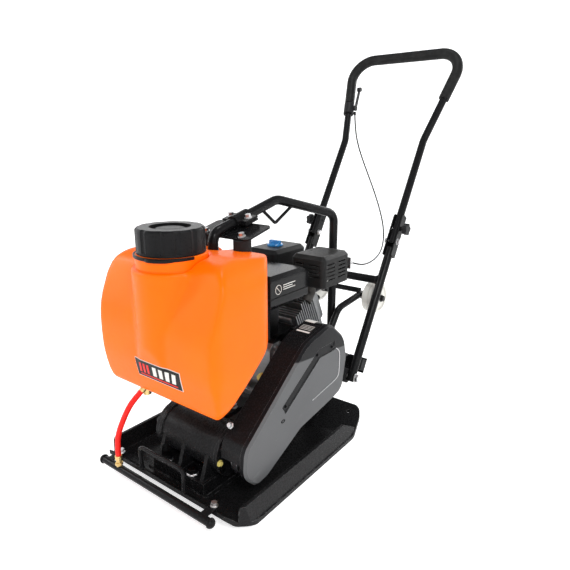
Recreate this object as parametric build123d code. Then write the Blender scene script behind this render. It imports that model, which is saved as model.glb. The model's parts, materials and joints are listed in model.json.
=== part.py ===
"""Walk-behind plate compactor, one STEP file per separate piece.

Millimetres. The origin is the centre of the flat sole on the ground, +Z is up,
-Y is the front (the way the machine travels), +Y is the operator's side and
+X is the side with the belt guard.
"""

import os
from math import cos, hypot, pi, radians, sin, tan

from build123d import *

# --- base plate -------------------------------------------------------------
PLATE_HALF = 243.0
PLATE_T = 10.0
SOLE_FRONT, SOLE_REAR = -235.0, 190.0
LIP_FRONT, LIP_FRONT_Z = -308.0, 40.0
LIP_REAR, LIP_REAR_Z = 293.0, 50.0
RIB_X, RIB_TOP = 230.0, 59.0
RIB_FRONT, RIB_REAR = -284.0, 205.0
PAD_HOLE_X, PAD_HOLE_Y, PAD_HOLE_R = 185.0, 262.0, 6.0
FOOT_TOP = 52.0

# --- exciter ----------------------------------------------------------------
EXC_Y, EXC_Z = -175.0, 110.0
EXC_R, EXC_BORE = 60.0, 45.0
EXC_LEFT, EXC_RIGHT, EXC_COVER = -82.0, 112.0, 10.0
EXC_ENDS = ((-1, EXC_LEFT), (1, EXC_RIGHT))
EXC_SHAFT_R = 17.5
FIT = 0.05
EXC_BOLT_X, EXC_BOLT_Y = 46.0, 70.0

# --- engine and drive -------------------------------------------------------
CRANK_Y, CRANK_Z = 95.0, 245.0
PTO_R, CRANK_R = 9.53, 14.0
BELT_X = 158.0
EXC_PULLEY_R, CLUTCH_R = 42.0, 63.0
GUARD_BACK, GUARD_SEAM, GUARD_FACE = 130.0, 188.0, 205.0
GUARD_WALL = 2.5
DECK_Z, DECK_T = 139.0, 10.0
DECK_HALF, DECK_FRONT, DECK_REAR = 122.0, -112.0, 300.0
MOUNT_X, MOUNT_YS, MOUNT_FOOT = 80.0, (-60.0, 235.0), 72.0
CYL_TILT = 25.0
TANK_SHELF_Z = 408.0

# --- water tank and its frame -----------------------------------------------
WT_HALF, WT_WALL = 196.0, 4.0
NECK_Y, NECK_R, NECK_WALL = -229.0, 68.0, 5.0
NECK_TOP, SHOULDER_Z = 624.0, 562.0
CAP_R, CAP_BASE, CAP_TOP, CAP_LOBES = 76.0, 593.0, 649.0, 12
CAGE_R, CAGE_WALL = 13.0, 2.5
CAGE_FRONT_Y, CAGE_FRONT_Z = -100.0, 613.0
CAGE_PEAK = (0.0, 150.0, 674.0)
CAGE_REAR = (52.0, 365.0, 616.0)
SADDLE_TOP = 165.0

# --- handle -----------------------------------------------------------------
TUBE_X = 154.0
PIVOT = (330.0, 116.0)
JOINT = (570.0, 511.0)
LOWER_R, UPPER_R, TUBE_WALL = 13.5, 12.5, 2.5
BEND = (768.0, 830.0)
HANDLE_TOP = (221.0, 931.0, 1125.0)
GRIP_R = 18.0
TOP_BEND_R = 75.0
CROSSBAR_AT = 0.70

# --- transport wheels -------------------------------------------------------
SWING_PIVOT = (285.0, 215.0)
SWING_ELBOW = (363.0, 319.0)
SWING_BAR = (500.0, 346.0)
SWING_SHOULDER = (502.0, 333.0)
AXLE = (535.0, 321.0)
ARM_X, ARM_R = 79.0, 10.5
WHEEL_IN, WHEEL_OUT, WHEEL_R, AXLE_R = 92.0, 138.0, 50.0, 8.0

parts = {}


# --- building blocks --------------------------------------------------------
def block(x, y, z):
    """Box given by its low and high value on each axis."""
    centre = ((x[0] + x[1]) / 2, (y[0] + y[1]) / 2, (z[0] + z[1]) / 2)
    return Pos(*centre) * Box(x[1] - x[0], y[1] - y[0], z[1] - z[0])


def rod(start, end, radius):
    """Round bar between two points."""
    axis = Vector(*end) - Vector(*start)
    return extrude(Plane(origin=start, z_dir=axis) * Circle(radius), amount=axis.length)


def ring(start, end, outer, inner):
    """Round tube between two points."""
    axis = Vector(*end) - Vector(*start)
    face = Circle(outer) - Circle(inner)
    return extrude(Plane(origin=start, z_dir=axis) * face, amount=axis.length)


def bent(points, bends, radius, wall=None):
    """Bar or tube along straight runs joined by arcs."""
    path = FilletPolyline(*points, radius=bends)
    face = Circle(radius)
    if wall:
        face = Circle(radius) - Circle(radius - wall)
    return sweep(Plane(origin=path @ 0, z_dir=path % 0) * face, path=path)


def side_prism(outline, x0, x1, bends=0.0):
    """Prism along X over a (y, z) outline whose corners are rounded by bends."""
    if isinstance(bends, (int, float)):
        bends = [bends] * len(outline)
    points = [(y, z) for y, z in outline]
    face = make_face(FilletPolyline(*points, radius=bends, close=True))
    return extrude(Plane.YZ.offset(x0) * face, amount=x1 - x0)


def plan_prism(outline, z0, z1, bends=0.0):
    """Prism along Z over an (x, y) outline whose corners are rounded by bends."""
    if isinstance(bends, (int, float)):
        bends = [bends] * len(outline)
    face = make_face(FilletPolyline(*outline, radius=bends, close=True))
    return extrude(Plane.XY.offset(z0) * face, amount=z1 - z0)


def both_sides(shape):
    """The shape and its mirror image across the centre plane."""
    return [shape, mirror(shape, about=Plane.YZ)]


def hex_head(at, direction, across, height, washer=0.0):
    """Hexagon head standing on the point at, with a washer under it."""
    plane = Plane(origin=at, z_dir=direction)
    base = 2.0 if washer else 0.0
    head = extrude(plane.offset(base) * RegularPolygon(across / 2, 6, major_radius=False), amount=height)
    if not washer:
        return head
    return head + extrude(plane * Circle(washer), amount=base)


def hex_bolt(at, direction, across, height, washer, shank, length):
    """Hexagon bolt: head and washer on the point, shank running back into the work."""
    back = Plane(origin=at, z_dir=direction)
    return hex_head(at, direction, across, height, washer) + extrude(back * Circle(shank), amount=-length)


def save(name, *shapes):
    """Keep one node: a single solid or a group of separate ones."""
    solids = []
    for shape in shapes:
        solids += list(shape.solids())
    parts[name] = Compound(children=solids) if len(solids) > 1 else solids[0]
    parts[name].label = name


def lerp(a, b, t):
    """Point at fraction t between two points."""
    return tuple(p + (q - p) * t for p, q in zip(a, b))


# --- base plate and what is fixed to its front lip ---------------------------
def plate_outline():
    """Plan outline of the base plate: clipped corners, straight sides."""
    right = [
        (206.0, LIP_FRONT),
        (PLATE_HALF, -250.0),
        (PLATE_HALF, 200.0),
        (226.0, 259.0),
        (206.0, LIP_REAR),
    ]
    left = [(-x, y) for x, y in reversed(right)]
    return right + left


def plate_side(thickness):
    """Side outline of the sole with its two turned-up ends."""
    under = [
        (LIP_FRONT, LIP_FRONT_Z),
        (-285.0, 14.0),
        (SOLE_FRONT, 0.0),
        (SOLE_REAR, 0.0),
        (LIP_REAR, LIP_REAR_Z - thickness),
    ]
    over = [
        (LIP_REAR, LIP_REAR_Z),
        (SOLE_REAR - 3.0, thickness),
        (SOLE_FRONT + 3.0, thickness),
        (-279.0, 23.0),
        (LIP_FRONT + 6.0, LIP_FRONT_Z + 6.0),
    ]
    return under + over


def exciter_bolt_points():
    """The four foot bolts of the exciter."""
    return [(x, EXC_Y + y) for x in (-EXC_BOLT_X, EXC_BOLT_X) for y in (-EXC_BOLT_Y, EXC_BOLT_Y)]


def make_base_plate():
    sole = side_prism(plate_side(PLATE_T), -PLATE_HALF, PLATE_HALF, [2, 30, 40, 60, 2, 2, 50, 30, 20, 2])
    rib_face = Plane.XZ.offset(-RIB_FRONT) * make_face(
        Polyline((RIB_X - 6, 2), (RIB_X + 11, 2), (RIB_X + 4, RIB_TOP), (RIB_X - 4, RIB_TOP), close=True)
    )
    rib = extrude(rib_face, amount=-(RIB_REAR - RIB_FRONT))
    ramp = side_prism([(150, 61), (215, 24), (215, 90), (150, 90)], RIB_X - 20, RIB_X + 20)
    front_trim = side_prism([(-300, 30), (-262, 70), (-300, 90), (-320, 60)], RIB_X - 20, RIB_X + 20)
    rib = rib - ramp - front_trim
    under_lips = side_prism(plate_side(PLATE_T)[:5] + [(LIP_REAR, -20), (LIP_FRONT, -20)], 0, 260)
    ribs = both_sides(rib - under_lips)
    seat = block((-104, 104), (EXC_Y - 86, EXC_Y + 86), (PLATE_T - 2, 22))
    towers = [
        block((x - 27, x + 27), (y - 26, y + 26), (PLATE_T - 2, MOUNT_FOOT))
        for x in (-MOUNT_X, MOUNT_X)
        for y in MOUNT_YS
    ]
    plate = sole + ribs + [seat] + towers
    plate &= plan_prism(plate_outline(), -10, 120, [22, 60, 60, 20, 42, 42, 20, 60, 60, 22])
    for x, y in exciter_bolt_points():
        plate -= rod((x, y, 12), (x, y, 30), 8.3)
    for x in (-PAD_HOLE_X, PAD_HOLE_X):
        plate -= rod((x, PAD_HOLE_Y, 0), (x, PAD_HOLE_Y, 80), PAD_HOLE_R)
    save("base_plate", plate)


BAR_Y, BAR_Z, BAR_R, BAR_HALF = -330.0, 40.0, 9.5, 190.0
BRACKET_X, BRACKET_Z = 168.0, 49.5


def make_sprinkler():
    """Drilled water bar with ball ends and the two straps that hold it to the lip."""
    left, right = (-BAR_HALF, BAR_Y, BAR_Z), (BAR_HALF, BAR_Y, BAR_Z)
    bar = rod(left, right, BAR_R)
    for x in (-BRACKET_X, BRACKET_X):
        bar += block((x - 10, x + 10), (BAR_Y, LIP_FRONT + 22), (BRACKET_Z - 3, BRACKET_Z))
    bar -= rod(left, right, BAR_R - 2)
    for step in range(-8, 9):
        x = step * 21.0
        bar -= rod((x, BAR_Y, BAR_Z), (x, BAR_Y - 9, BAR_Z - 20), 1.5)
    for side in (-1, 1):
        end = side * BAR_HALF
        ball = Pos(end, BAR_Y, BAR_Z) * Sphere(12.0)
        bar += ball & block(sorted((end, end + side * 20)), (-350, -310), (20, 60))
    save("sprinkler_bar", bar)


def make_front_bail():
    """Bent rod on the front lip, for lifting the nose of the machine."""
    path = [(-76, -300, 43), (-80, -301, 106), (80, -301, 106), (76, -300, 43)]
    lip = side_prism(plate_side(PLATE_T), -PLATE_HALF, PLATE_HALF)
    save("front_bail", bent(path, [16, 16], 5.0) - lip)


# --- exciter ------------------------------------------------------------------
def make_exciter():
    axis_in, axis_out = (EXC_LEFT, EXC_Y, EXC_Z), (EXC_RIGHT, EXC_Y, EXC_Z)
    foot = block((EXC_LEFT + 1, 100), (EXC_Y - 86, EXC_Y + 86), (22, FOOT_TOP))
    web = [(EXC_Y - 82, FOOT_TOP - 1), (EXC_Y - 54, 128), (EXC_Y + 54, 128), (EXC_Y + 82, FOOT_TOP - 1)]
    housing = rod(axis_in, axis_out, EXC_R) + foot
    for x in (-68, 3, 83):
        housing += side_prism(web, x, x + 10)
    for x in (EXC_LEFT, EXC_RIGHT - 10):
        housing += rod((x, EXC_Y, EXC_Z), (x + 10, EXC_Y, EXC_Z), EXC_R + 3)
    housing -= rod((EXC_LEFT - 1, EXC_Y, EXC_Z), (EXC_RIGHT + 1, EXC_Y, EXC_Z), EXC_BORE)
    for x, y in exciter_bolt_points():
        housing -= rod((x, y, 20), (x, y, 90), 8.3)
        housing -= rod((x, y, FOOT_TOP), (x, y, 90), 16)
    save("exciter_housing", housing)

    covers = []
    for side, inner in EXC_ENDS:
        outer = inner + side * EXC_COVER
        cover = rod((inner, EXC_Y, EXC_Z), (outer, EXC_Y, EXC_Z), EXC_R + 3)
        if side > 0:
            cover -= rod((inner - 5, EXC_Y, EXC_Z), (outer + 5, EXC_Y, EXC_Z), EXC_SHAFT_R + 1)
        covers.append(cover)
    save("exciter_covers", *covers)

    bolts = []
    for x, y in exciter_bolt_points():
        bolts.append(hex_bolt((x, y, FOOT_TOP), (0, 0, 1), 24, 13, 15.5, 8, 36))
    for side, end in EXC_ENDS:
        for k in range(6):
            turn = radians(30 + 60 * k)
            at = (end + side * EXC_COVER, EXC_Y + 54 * cos(turn), EXC_Z + 54 * sin(turn))
            bolts.append(hex_head(at, (side, 0, 0), 12, 7))
    save("exciter_bolts", *bolts)

    races = []
    for side, end in EXC_ENDS:
        ends = sorted((end - side * 26, end - side * 4))
        race = ring((ends[0], EXC_Y, EXC_Z), (ends[1], EXC_Y, EXC_Z), EXC_BORE, EXC_SHAFT_R + FIT)
        races.append(race)
    save("exciter_bearings", *races)

    shaft = rod((EXC_LEFT + 4, EXC_Y, EXC_Z), (BELT_X + 12, EXC_Y, EXC_Z), EXC_SHAFT_R)
    weight = rod((-48, EXC_Y, EXC_Z), (78, EXC_Y, EXC_Z), EXC_BORE - 6)
    weight &= block((-50, 80), (EXC_Y - 50, EXC_Y + 50), (EXC_Z - 50, EXC_Z))
    save("eccentric_shaft", shaft + weight)
    save("exciter_pulley", pulley(EXC_Y, EXC_Z, EXC_PULLEY_R, EXC_SHAFT_R))


BELT_HALF, BELT_T, PULLEY_HALF = 5.5, 8.0, 9.5


def pulley(y, z, radius, bore):
    """Grooved pulley in the belt plane."""
    wheel = rod((BELT_X - PULLEY_HALF, y, z), (BELT_X + PULLEY_HALF, y, z), radius)
    groove = ring((BELT_X - 6, y, z), (BELT_X + 6, y, z), radius + 1, radius - 10)
    return wheel - groove - rod((BELT_X - 20, y, z), (BELT_X + 20, y, z), bore)


def belt_loop(shrink):
    """Area inside the belt's outer face, drawn in by shrink."""
    small = Pos(EXC_Y, EXC_Z) * Circle(EXC_PULLEY_R - 1 - shrink)
    large = Pos(CRANK_Y, CRANK_Z) * Circle(CLUTCH_R - 1 - shrink)
    return make_hull(small.edges() + large.edges())


def make_drive():
    loop = belt_loop(0) - belt_loop(BELT_T)
    save("v_belt", extrude(Plane.YZ.offset(BELT_X - BELT_HALF) * loop, amount=2 * BELT_HALF))
    shaft = rod((-80, CRANK_Y, CRANK_Z), (84, CRANK_Y, CRANK_Z), CRANK_R)
    shaft += rod((84, CRANK_Y, CRANK_Z), (BELT_X + 22, CRANK_Y, CRANK_Z), PTO_R)
    save("crankshaft", shaft)
    drum = pulley(CRANK_Y, CRANK_Z, CLUTCH_R, PTO_R)
    drum += ring((BELT_X - 22, CRANK_Y, CRANK_Z), (BELT_X - PULLEY_HALF, CRANK_Y, CRANK_Z), 52, PTO_R)
    drum += ring((BELT_X + PULLEY_HALF, CRANK_Y, CRANK_Z), (BELT_X + 18, CRANK_Y, CRANK_Z), 24, PTO_R)
    save("clutch_pulley", drum)


# --- belt guard -----------------------------------------------------------------
GUARD_OUTLINE = [
    (-190.0, 52.0),
    (-232.0, 96.0),
    (-226.0, 160.0),
    (10.0, 343.0),
    (120.0, 366.0),
    (192.0, 306.0),
    (207.0, 246.0),
    (186.0, 150.0),
    (140.0, 139.0),
    (-15.0, 118.0),
    (-150.0, 57.0),
]
GUARD_BENDS = [26, 50, 40, 120, 45, 60, 60, 34, 40, 60, 40]
STRIPE = [(-88.0, 203.0), (64.0, 299.0), (138.0, 298.0)]
STRIPE_WIDTH, STRIPE_DEPTH, GUARD_CHAMFER = 26.0, 2.0, 6.0


def guard_area(inset):
    """Side area of the belt guard, drawn in by inset."""
    face = make_face(FilletPolyline(*GUARD_OUTLINE, radius=GUARD_BENDS, close=True))
    return offset(face, -inset) if inset else face


def guard_layer(inset, x0, x1):
    return extrude(Plane.YZ.offset(x0) * guard_area(inset), amount=x1 - x0)


def make_belt_guard():
    back = guard_layer(0, GUARD_BACK, GUARD_SEAM)
    back -= guard_layer(GUARD_WALL, GUARD_BACK + GUARD_WALL, GUARD_SEAM + 1)
    for y, z, hole in ((EXC_Y, EXC_Z, 24), (CRANK_Y, CRANK_Z, 32)):
        back -= rod((GUARD_BACK - 1, y, z), (GUARD_BACK + 10, y, z), hole)
    back -= side_prism([(-240, 40), (-120, 40), (-120, 122), (-240, 122)], GUARD_BACK - 1, GUARD_SEAM + 1)
    save("belt_guard_back", back)

    shell = guard_layer(0, GUARD_SEAM, GUARD_FACE)
    shell = chamfer(shell.faces().sort_by(Axis.X)[-1].edges(), GUARD_CHAMFER)
    face = shell - guard_layer(GUARD_WALL + 2, GUARD_SEAM - 1, GUARD_FACE - GUARD_CHAMFER)
    path = FilletPolyline(*STRIPE, radius=[20])
    face -= extrude(Plane.YZ.offset(GUARD_FACE - STRIPE_DEPTH) * trace(path, STRIPE_WIDTH), amount=5)
    save("belt_guard_face", face)

    heads = []
    for y, z in ((58, 297), (128, 297), (-78, 210)):
        heads.append(hex_head((GUARD_FACE - STRIPE_DEPTH, y, z), (1, 0, 0), 5, 2, 4))
    for y, z in ((-55, 205), (CRANK_Y + 54, CRANK_Z + 54), (CRANK_Y - 54, CRANK_Z - 54)):
        heads.append(hex_head((GUARD_BACK + GUARD_WALL, y, z), (1, 0, 0), 10, 5, 9))
    save("belt_guard_bolts", *heads)


# --- engine deck and its mounts ---------------------------------------------------
RAIL_X, RAIL_T = 106.0, 8.0
RAIL = [
    (264, 129),
    (264, 110),
    (300, 88),
    (345, 88),
    (385, 128),
    (385, 165),
    (350, 165),
    (318, 146),
    (301, 129),
]
ENGINE_BOLTS = [(x, CRANK_Y + y) for x in (-74, 74) for y in (-62, 62)]


def make_deck():
    """Pressed deck with its rear rails, saddle beam and wheel uprights, welded as one."""
    deck = block((-DECK_HALF, DECK_HALF), (DECK_FRONT, DECK_REAR), (DECK_Z - DECK_T, DECK_Z))
    rails = both_sides(side_prism(RAIL, RAIL_X, RAIL_X + RAIL_T, 3))
    saddle = block((-RAIL_X - 1, RAIL_X + 1), (350, 385), (130, SADDLE_TOP))
    saddle -= block((-RAIL_X + 2, RAIL_X - 2), (353, 382), (133, SADDLE_TOP - 3))
    lug = [(262, 138), (298, 138), (300, 215), (285, 232), (270, 215)]
    upright = side_prism(lug, 92, 98, [0, 0, 12, 14, 12])
    tab = block((DECK_HALF - 1, GUARD_BACK), (-2, 62), (DECK_Z - 8, DECK_Z))
    nose = block((DECK_HALF - 1, GUARD_BACK), (-100, -70), (DECK_Z - 8, DECK_Z))
    stop = [along_lower(*corner) for corner in ((24, 38), (72, 38), (72, 43), (24, 43))]
    stops = both_sides(side_prism(stop, RAIL_X, TUBE_X + 14))
    frame = deck + rails + [saddle] + both_sides(upright) + [tab, nose] + stops
    y, z = SWING_PIVOT
    frame -= rod((-120, y, z), (120, y, z), 6.0 + FIT)
    y, z = PIVOT
    frame -= rod((-130, y, z), (130, y, z), 8.0 + FIT)
    for x in (-MOUNT_X, MOUNT_X):
        for y in MOUNT_YS:
            frame -= rod((x, y, 100), (x, y, 160), 6.3)
    save("engine_deck", frame)

    low, high = MOUNT_FOOT, DECK_Z - DECK_T
    flare = [(0, low), (25, low), (25, low + 10), (21, low + 18)]
    flare += [(21, high - 18), (25, high - 10), (25, high), (0, high)]
    buffer = revolve(Plane.XZ * make_face(Polyline(*flare, close=True)), Axis.Z)
    save("rubber_mounts", *[Pos(x, y, 0) * buffer for x in (-MOUNT_X, MOUNT_X) for y in MOUNT_YS])


def make_frame_bolts():
    """Zinc hardware on the plate, the deck and the roll bar clamp."""
    heads = []
    for x in (-MOUNT_X, MOUNT_X):
        for y in MOUNT_YS:
            heads.append(hex_head((x, y, DECK_Z), (0, 0, 1), 19, 9, 13))
    for x, y in ENGINE_BOLTS:
        heads.append(hex_head((x, y, DECK_Z + 14), (0, 0, 1), 13, 8, 9))
    for side in (-1, 1):
        heads.append(hex_head((side * BRACKET_X, LIP_FRONT + 14, BRACKET_Z), (0, 0, 1), 13, 8, 9))
        heads.append(hex_head((side * 25, CAGE_FRONT_Y + 30, DECK_Z + 6), (0, 0, 1), 13, 8, 9))
    for at, direction in clamp_points():
        heads.append(hex_head(at, direction, 13, 8, 10))
    save("frame_bolts", *heads)


# --- engine ---------------------------------------------------------------------
def along_cylinder(reach, lift):
    """Point in the side plane at a reach along the cylinder axis and a lift off it."""
    tilt = radians(CYL_TILT)
    y = CRANK_Y + reach * cos(tilt) - lift * sin(tilt)
    z = CRANK_Z + reach * sin(tilt) + lift * cos(tilt)
    return (y, z)


def cylinder_slab(reach0, reach1, low, high, x0, x1, bend=0):
    """Block square to the cylinder axis."""
    corners = [(reach0, low), (reach1, low), (reach1, high), (reach0, high)]
    return side_prism([along_cylinder(*corner) for corner in corners], x0, x1, bend)


def make_crankcase():
    side = [(24, DECK_Z + 14), (8, 190), (10, 296), (40, 325), (130, 330), (172, 300), (178, DECK_Z + 14)]
    case = side_prism(side, -84, 84, [4, 30, 24, 20, 20, 10, 4])
    case += block((-88, 88), (18, 172), (DECK_Z, DECK_Z + 14))
    case += rod((80, CRANK_Y, CRANK_Z), (96, CRANK_Y, CRANK_Z), 78)
    case += rod((90, CRANK_Y, CRANK_Z), (GUARD_BACK, CRANK_Y, CRANK_Z), 50)
    case -= rod((-84, CRANK_Y, CRANK_Z), (84, CRANK_Y, CRANK_Z), CRANK_R + FIT)
    case -= rod((80, CRANK_Y, CRANK_Z), (GUARD_BACK + 5, CRANK_Y, CRANK_Z), 27)
    case -= rod((80, CRANK_Y, CRANK_Z), (84, CRANK_Y, CRANK_Z), CRANK_R + 1)
    case += ring((100, CRANK_Y, CRANK_Z), (112, CRANK_Y, CRANK_Z), 28, PTO_R + FIT)
    for k in range(6):
        turn = radians(60 * k + 20)
        lug = (CRANK_Y + 76 * cos(turn), CRANK_Z + 76 * sin(turn))
        case += rod((80, *lug), (98, *lug), 10)
    for x, y in ENGINE_BOLTS:
        case -= rod((x, y, DECK_Z + 14), (x, y, DECK_Z + 40), 11)
    for x in (-55, 55):
        case += block((x - 15, x + 15), (30, 66), (300, TANK_SHELF_Z))
    save("engine_crankcase", case)


FIN_START, FIN_STEP, FIN_COUNT, FIN_T = 92.0, 9.0, 11, 3.0


def make_cylinder():
    barrel = cylinder_slab(86, 196, -48, 60, -48, 48, 14) - crankcase_clear()
    for k in range(FIN_COUNT):
        reach = FIN_START + k * FIN_STEP
        high = 88 if k > 3 else 70
        barrel += cylinder_slab(reach, reach + FIN_T, -56, high, -66, 68, 1) - crankcase_clear()
    barrel += cylinder_slab(176, 200, -54, 62, -60, 62, 8)
    save("engine_cylinder", barrel)
    cover = cylinder_slab(200, 206, -50, 56, -54, 56, 2) + cylinder_slab(204, 228, -44, 50, -48, 50, 8)
    save("rocker_cover", cover)


def crankcase_clear():
    """Space the crankcase takes behind its rear face, for the barrel to butt against."""
    return side_prism([(8, 120), (8, 330.5), (130.2, 330.5), (178.5, 300.5), (178.5, 120)], -90, 90)


def make_recoil():
    """Fan housing with the recoil starter's domed cover."""
    fan = rod((-124, CRANK_Y, CRANK_Z), (-84, CRANK_Y, CRANK_Z), 91)
    fan += block((-124, -84), (70, 190), (300, 372))
    fan -= rod((-121, CRANK_Y, CRANK_Z), (-83, CRANK_Y, CRANK_Z), 87)
    dome = rod((-146, CRANK_Y, CRANK_Z), (-124, CRANK_Y, CRANK_Z), 78)
    for k in range(12):
        turn = 30 * k
        slot = Pos(-140, CRANK_Y, CRANK_Z) * Rot(turn, 0, 0) * Pos(0, 52, 0) * Box(20, 34, 9)
        dome -= slot
    dome += rod((-150, CRANK_Y, CRANK_Z), (-124, CRANK_Y, CRANK_Z), 24)
    housing = fan + dome
    housing += block((-146, -124), (118, 200), (CRANK_Z + 40, CRANK_Z + 64))
    housing -= rod((-135, 80, ROPE_Z), (-135, 210, ROPE_Z), ROPE_R + 0.6)
    save("recoil_cover", housing)


ROPE_Z, ROPE_R, ROPE_END = 297.0, 2.5, 200.0


def make_starter_grip():
    grip = rod((-135, ROPE_END + 0.5, ROPE_Z), (-135, ROPE_END + 8, ROPE_Z), 8)
    bar = rod((-135, ROPE_END + 14, ROPE_Z - 38), (-135, ROPE_END + 14, ROPE_Z + 38), 9)
    grip += fillet(bar.edges(), 5)
    grip += rod((-135, 82, ROPE_Z), (-135, ROPE_END + 1, ROPE_Z), ROPE_R)
    save("starter_grip", grip)


FUEL_X, FUEL_Y, FUEL_TOP = (-118.0, 106.0), (-12.0, 152.0), 500.0
FUEL_SEAM_Z = 441.0
FUEL_NECK = (-55.0, 55.0)


def bevelled(low, high, base, top, belly, bevel):
    """Outline from low to high across and base to top up, all corners cut off."""
    right = [(high - belly, base), (high, base + 16), (high, top - bevel), (high - bevel, top)]
    left = [(low + bevel, top), (low, top - bevel), (low, base + 16), (low + belly, base)]
    return make_face(FilletPolyline(*right, *left, radius=[5] * 8, close=True))


def fuel_tank_body(inset):
    """Pressed tank with a bevelled top and a tapered belly, drawn in by inset."""
    y0, y1 = FUEL_Y[0] + inset, FUEL_Y[1] - inset
    x0, x1 = FUEL_X[0] + inset, FUEL_X[1] - inset
    base, top = TANK_SHELF_Z + inset, FUEL_TOP - inset
    body = extrude(Plane.YZ.offset(x0) * bevelled(y0, y1, base, top, 26, 14), amount=x1 - x0)
    return body & extrude(Plane.XZ.offset(-200) * bevelled(x0, x1, base - 1, top + 1, 18, 13), amount=300)


def make_fuel_tank():
    x, y = FUEL_NECK
    seam = block((FUEL_X[0] - 3, FUEL_X[1] + 3), (FUEL_Y[0] - 3, FUEL_Y[1] + 3), (FUEL_SEAM_Z, FUEL_SEAM_Z + 3))
    tank = fuel_tank_body(0) + fillet(seam.edges().filter_by(Axis.Z), 12) - fuel_tank_body(2.0)
    tank += ring((x, y, FUEL_TOP - 3), (x, y, FUEL_TOP + 10), 21, 18.5)
    tank -= rod((x, y, FUEL_TOP - 8), (x, y, FUEL_TOP + 12), 18.5)
    save("fuel_tank", tank)
    cap = rod((x, y, FUEL_TOP + 3), (x, y, FUEL_TOP + 22), 29)
    for k in range(12):
        turn = radians(30 * k)
        flute_x, flute_y = x + 31 * cos(turn), y + 31 * sin(turn)
        cap -= rod((flute_x, flute_y, FUEL_TOP), (flute_x, flute_y, FUEL_TOP + 30), 4)
    cap -= rod((x, y, FUEL_TOP), (x, y, FUEL_TOP + 17), 21.3)
    save("fuel_cap", cap)


AIR_X, AIR_Y, AIR_TOP = (-128.0, -22.0), (168.0, 322.0), 522.0
AIR_KNOB = (-80.0, 243.0)


def make_air_cleaner():
    case = block(AIR_X, AIR_Y, (448, 480))
    case = fillet(case.edges().filter_by(Axis.Z), 14)
    case -= offset_block(AIR_X, AIR_Y, (452, 481), 4)
    save("air_cleaner_case", case)
    cover = block((AIR_X[0] - 2, AIR_X[1] + 2), (AIR_Y[0] - 2, AIR_Y[1] + 2), (480, AIR_TOP))
    cover = fillet(cover.edges().filter_by(Axis.Z), 16)
    cover = chamfer(cover.faces().sort_by(Axis.Z)[-1].edges(), 11)
    x, y = AIR_KNOB
    cover -= offset_block(AIR_X, AIR_Y, (479, AIR_TOP - 13), 2)
    cover -= rod((x, y, 500), (x, y, 530), 4.0 + FIT)
    save("air_cleaner_cover", cover)
    knob = rod((x, y, AIR_TOP), (x, y, AIR_TOP + 6), 25)
    knob = chamfer(knob.faces().sort_by(Axis.Z)[-1].edges(), 2.5)
    knob += rod((x, y, 480), (x, y, AIR_TOP), 4.0)
    wing = block((x - 20, x + 20), (y - 4, y + 4), (AIR_TOP + 5, AIR_TOP + 16))
    save("air_cleaner_knob", knob + fillet(wing.edges().filter_by(Axis.Y), 4))


def offset_block(x, y, z, inset):
    """Rounded inner space of a box, drawn in on its sides only."""
    space = block((x[0] + inset, x[1] - inset), (y[0] + inset, y[1] - inset), z)
    return fillet(space.edges().filter_by(Axis.Z), 11)


def make_carburettor():
    body = block((-104, -66), (205, 262), (372, 426)) + rod((-84, 234, 352), (-84, 234, 374), 20)
    body += rod((-84, 234, 424), (-84, 234, 448), 17)
    body += rod((-67, 222, 392), (-56, 222, 392), 14)
    save("carburettor", body - cylinder_slab(60, 203, -60, 90, -70, 70))


MUF_X, MUF_Y, MUF_Z = (28.0, 140.0), (178.0, 316.0), (434.0, 522.0)


def muffler_shell(inset):
    """Pressed guard box with a bevelled rim."""
    x0, x1 = MUF_X[0] + inset, MUF_X[1] - inset
    y0, y1 = MUF_Y[0] + inset, MUF_Y[1] - inset
    shell = block((x0, x1), (y0, y1), (MUF_Z[0] - inset, MUF_Z[1] - inset))
    shell = fillet(shell.edges().filter_by(Axis.Z), 14 - inset)
    return chamfer(shell.faces().sort_by(Axis.Z)[-1].edges(), 10)


def make_muffler():
    shell = muffler_shell(0) - muffler_shell(2.0)
    for row in range(5):
        z = 452 + row * 11
        for y0, y1 in ((196, 236), (254, 294)):
            shell -= block((MUF_X[1] - 3, MUF_X[1] + 3), (y0, y1), (z, z + 4))
    for row in range(4):
        z = 462 + row * 11
        for x0, x1 in ((44, 78), (90, 124)):
            shell -= block((x0, x1), (MUF_Y[0] - 3, MUF_Y[0] + 3), (z, z + 4))
    for x in (52, 114):
        shell -= rod((x, 247, MUF_Z[1] - 5), (x, 247, MUF_Z[1] + 5), 3.2)
    save("muffler_guard", shell)
    can = block((46, 122), (196, 300), (446, MUF_Z[1] - 2.0 - 0.5))
    can = fillet(can.edges().filter_by(Axis.Z), 20)
    can = fillet(can.faces().sort_by(Axis.Z)[0].edges(), 8)
    save("muffler", can)
    elbow = rod((66, 222, 404), (66, 222, 446), 16) + Pos(66, 222, 404) * Sphere(16)
    elbow += rod((66, 222, 404), (66, 200, 380), 16)
    save("exhaust_elbow", elbow - cylinder_slab(60, 203, -60, 90, -70, 70))


def make_engine_small():
    y, z = along_cylinder(228, 10)
    tip_y, tip_z = along_cylinder(250, 10)
    boot = rod((30, y, z), (30, tip_y, tip_z), 9)
    save("spark_plug_cap", boot)
    plugs = []
    for x in (-60, 60):
        plugs.append(rod((x, 0, 215), (x, 8, 215), 11) + hex_head((x, 0, 215), (0, -1, 0), 16, 7))
    plugs.append(hex_head((EXC_RIGHT + EXC_COVER, EXC_Y - 53, EXC_Z - 8), (1, 0, 0), 10, 5, 8))
    save("drain_plugs", *plugs)


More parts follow.
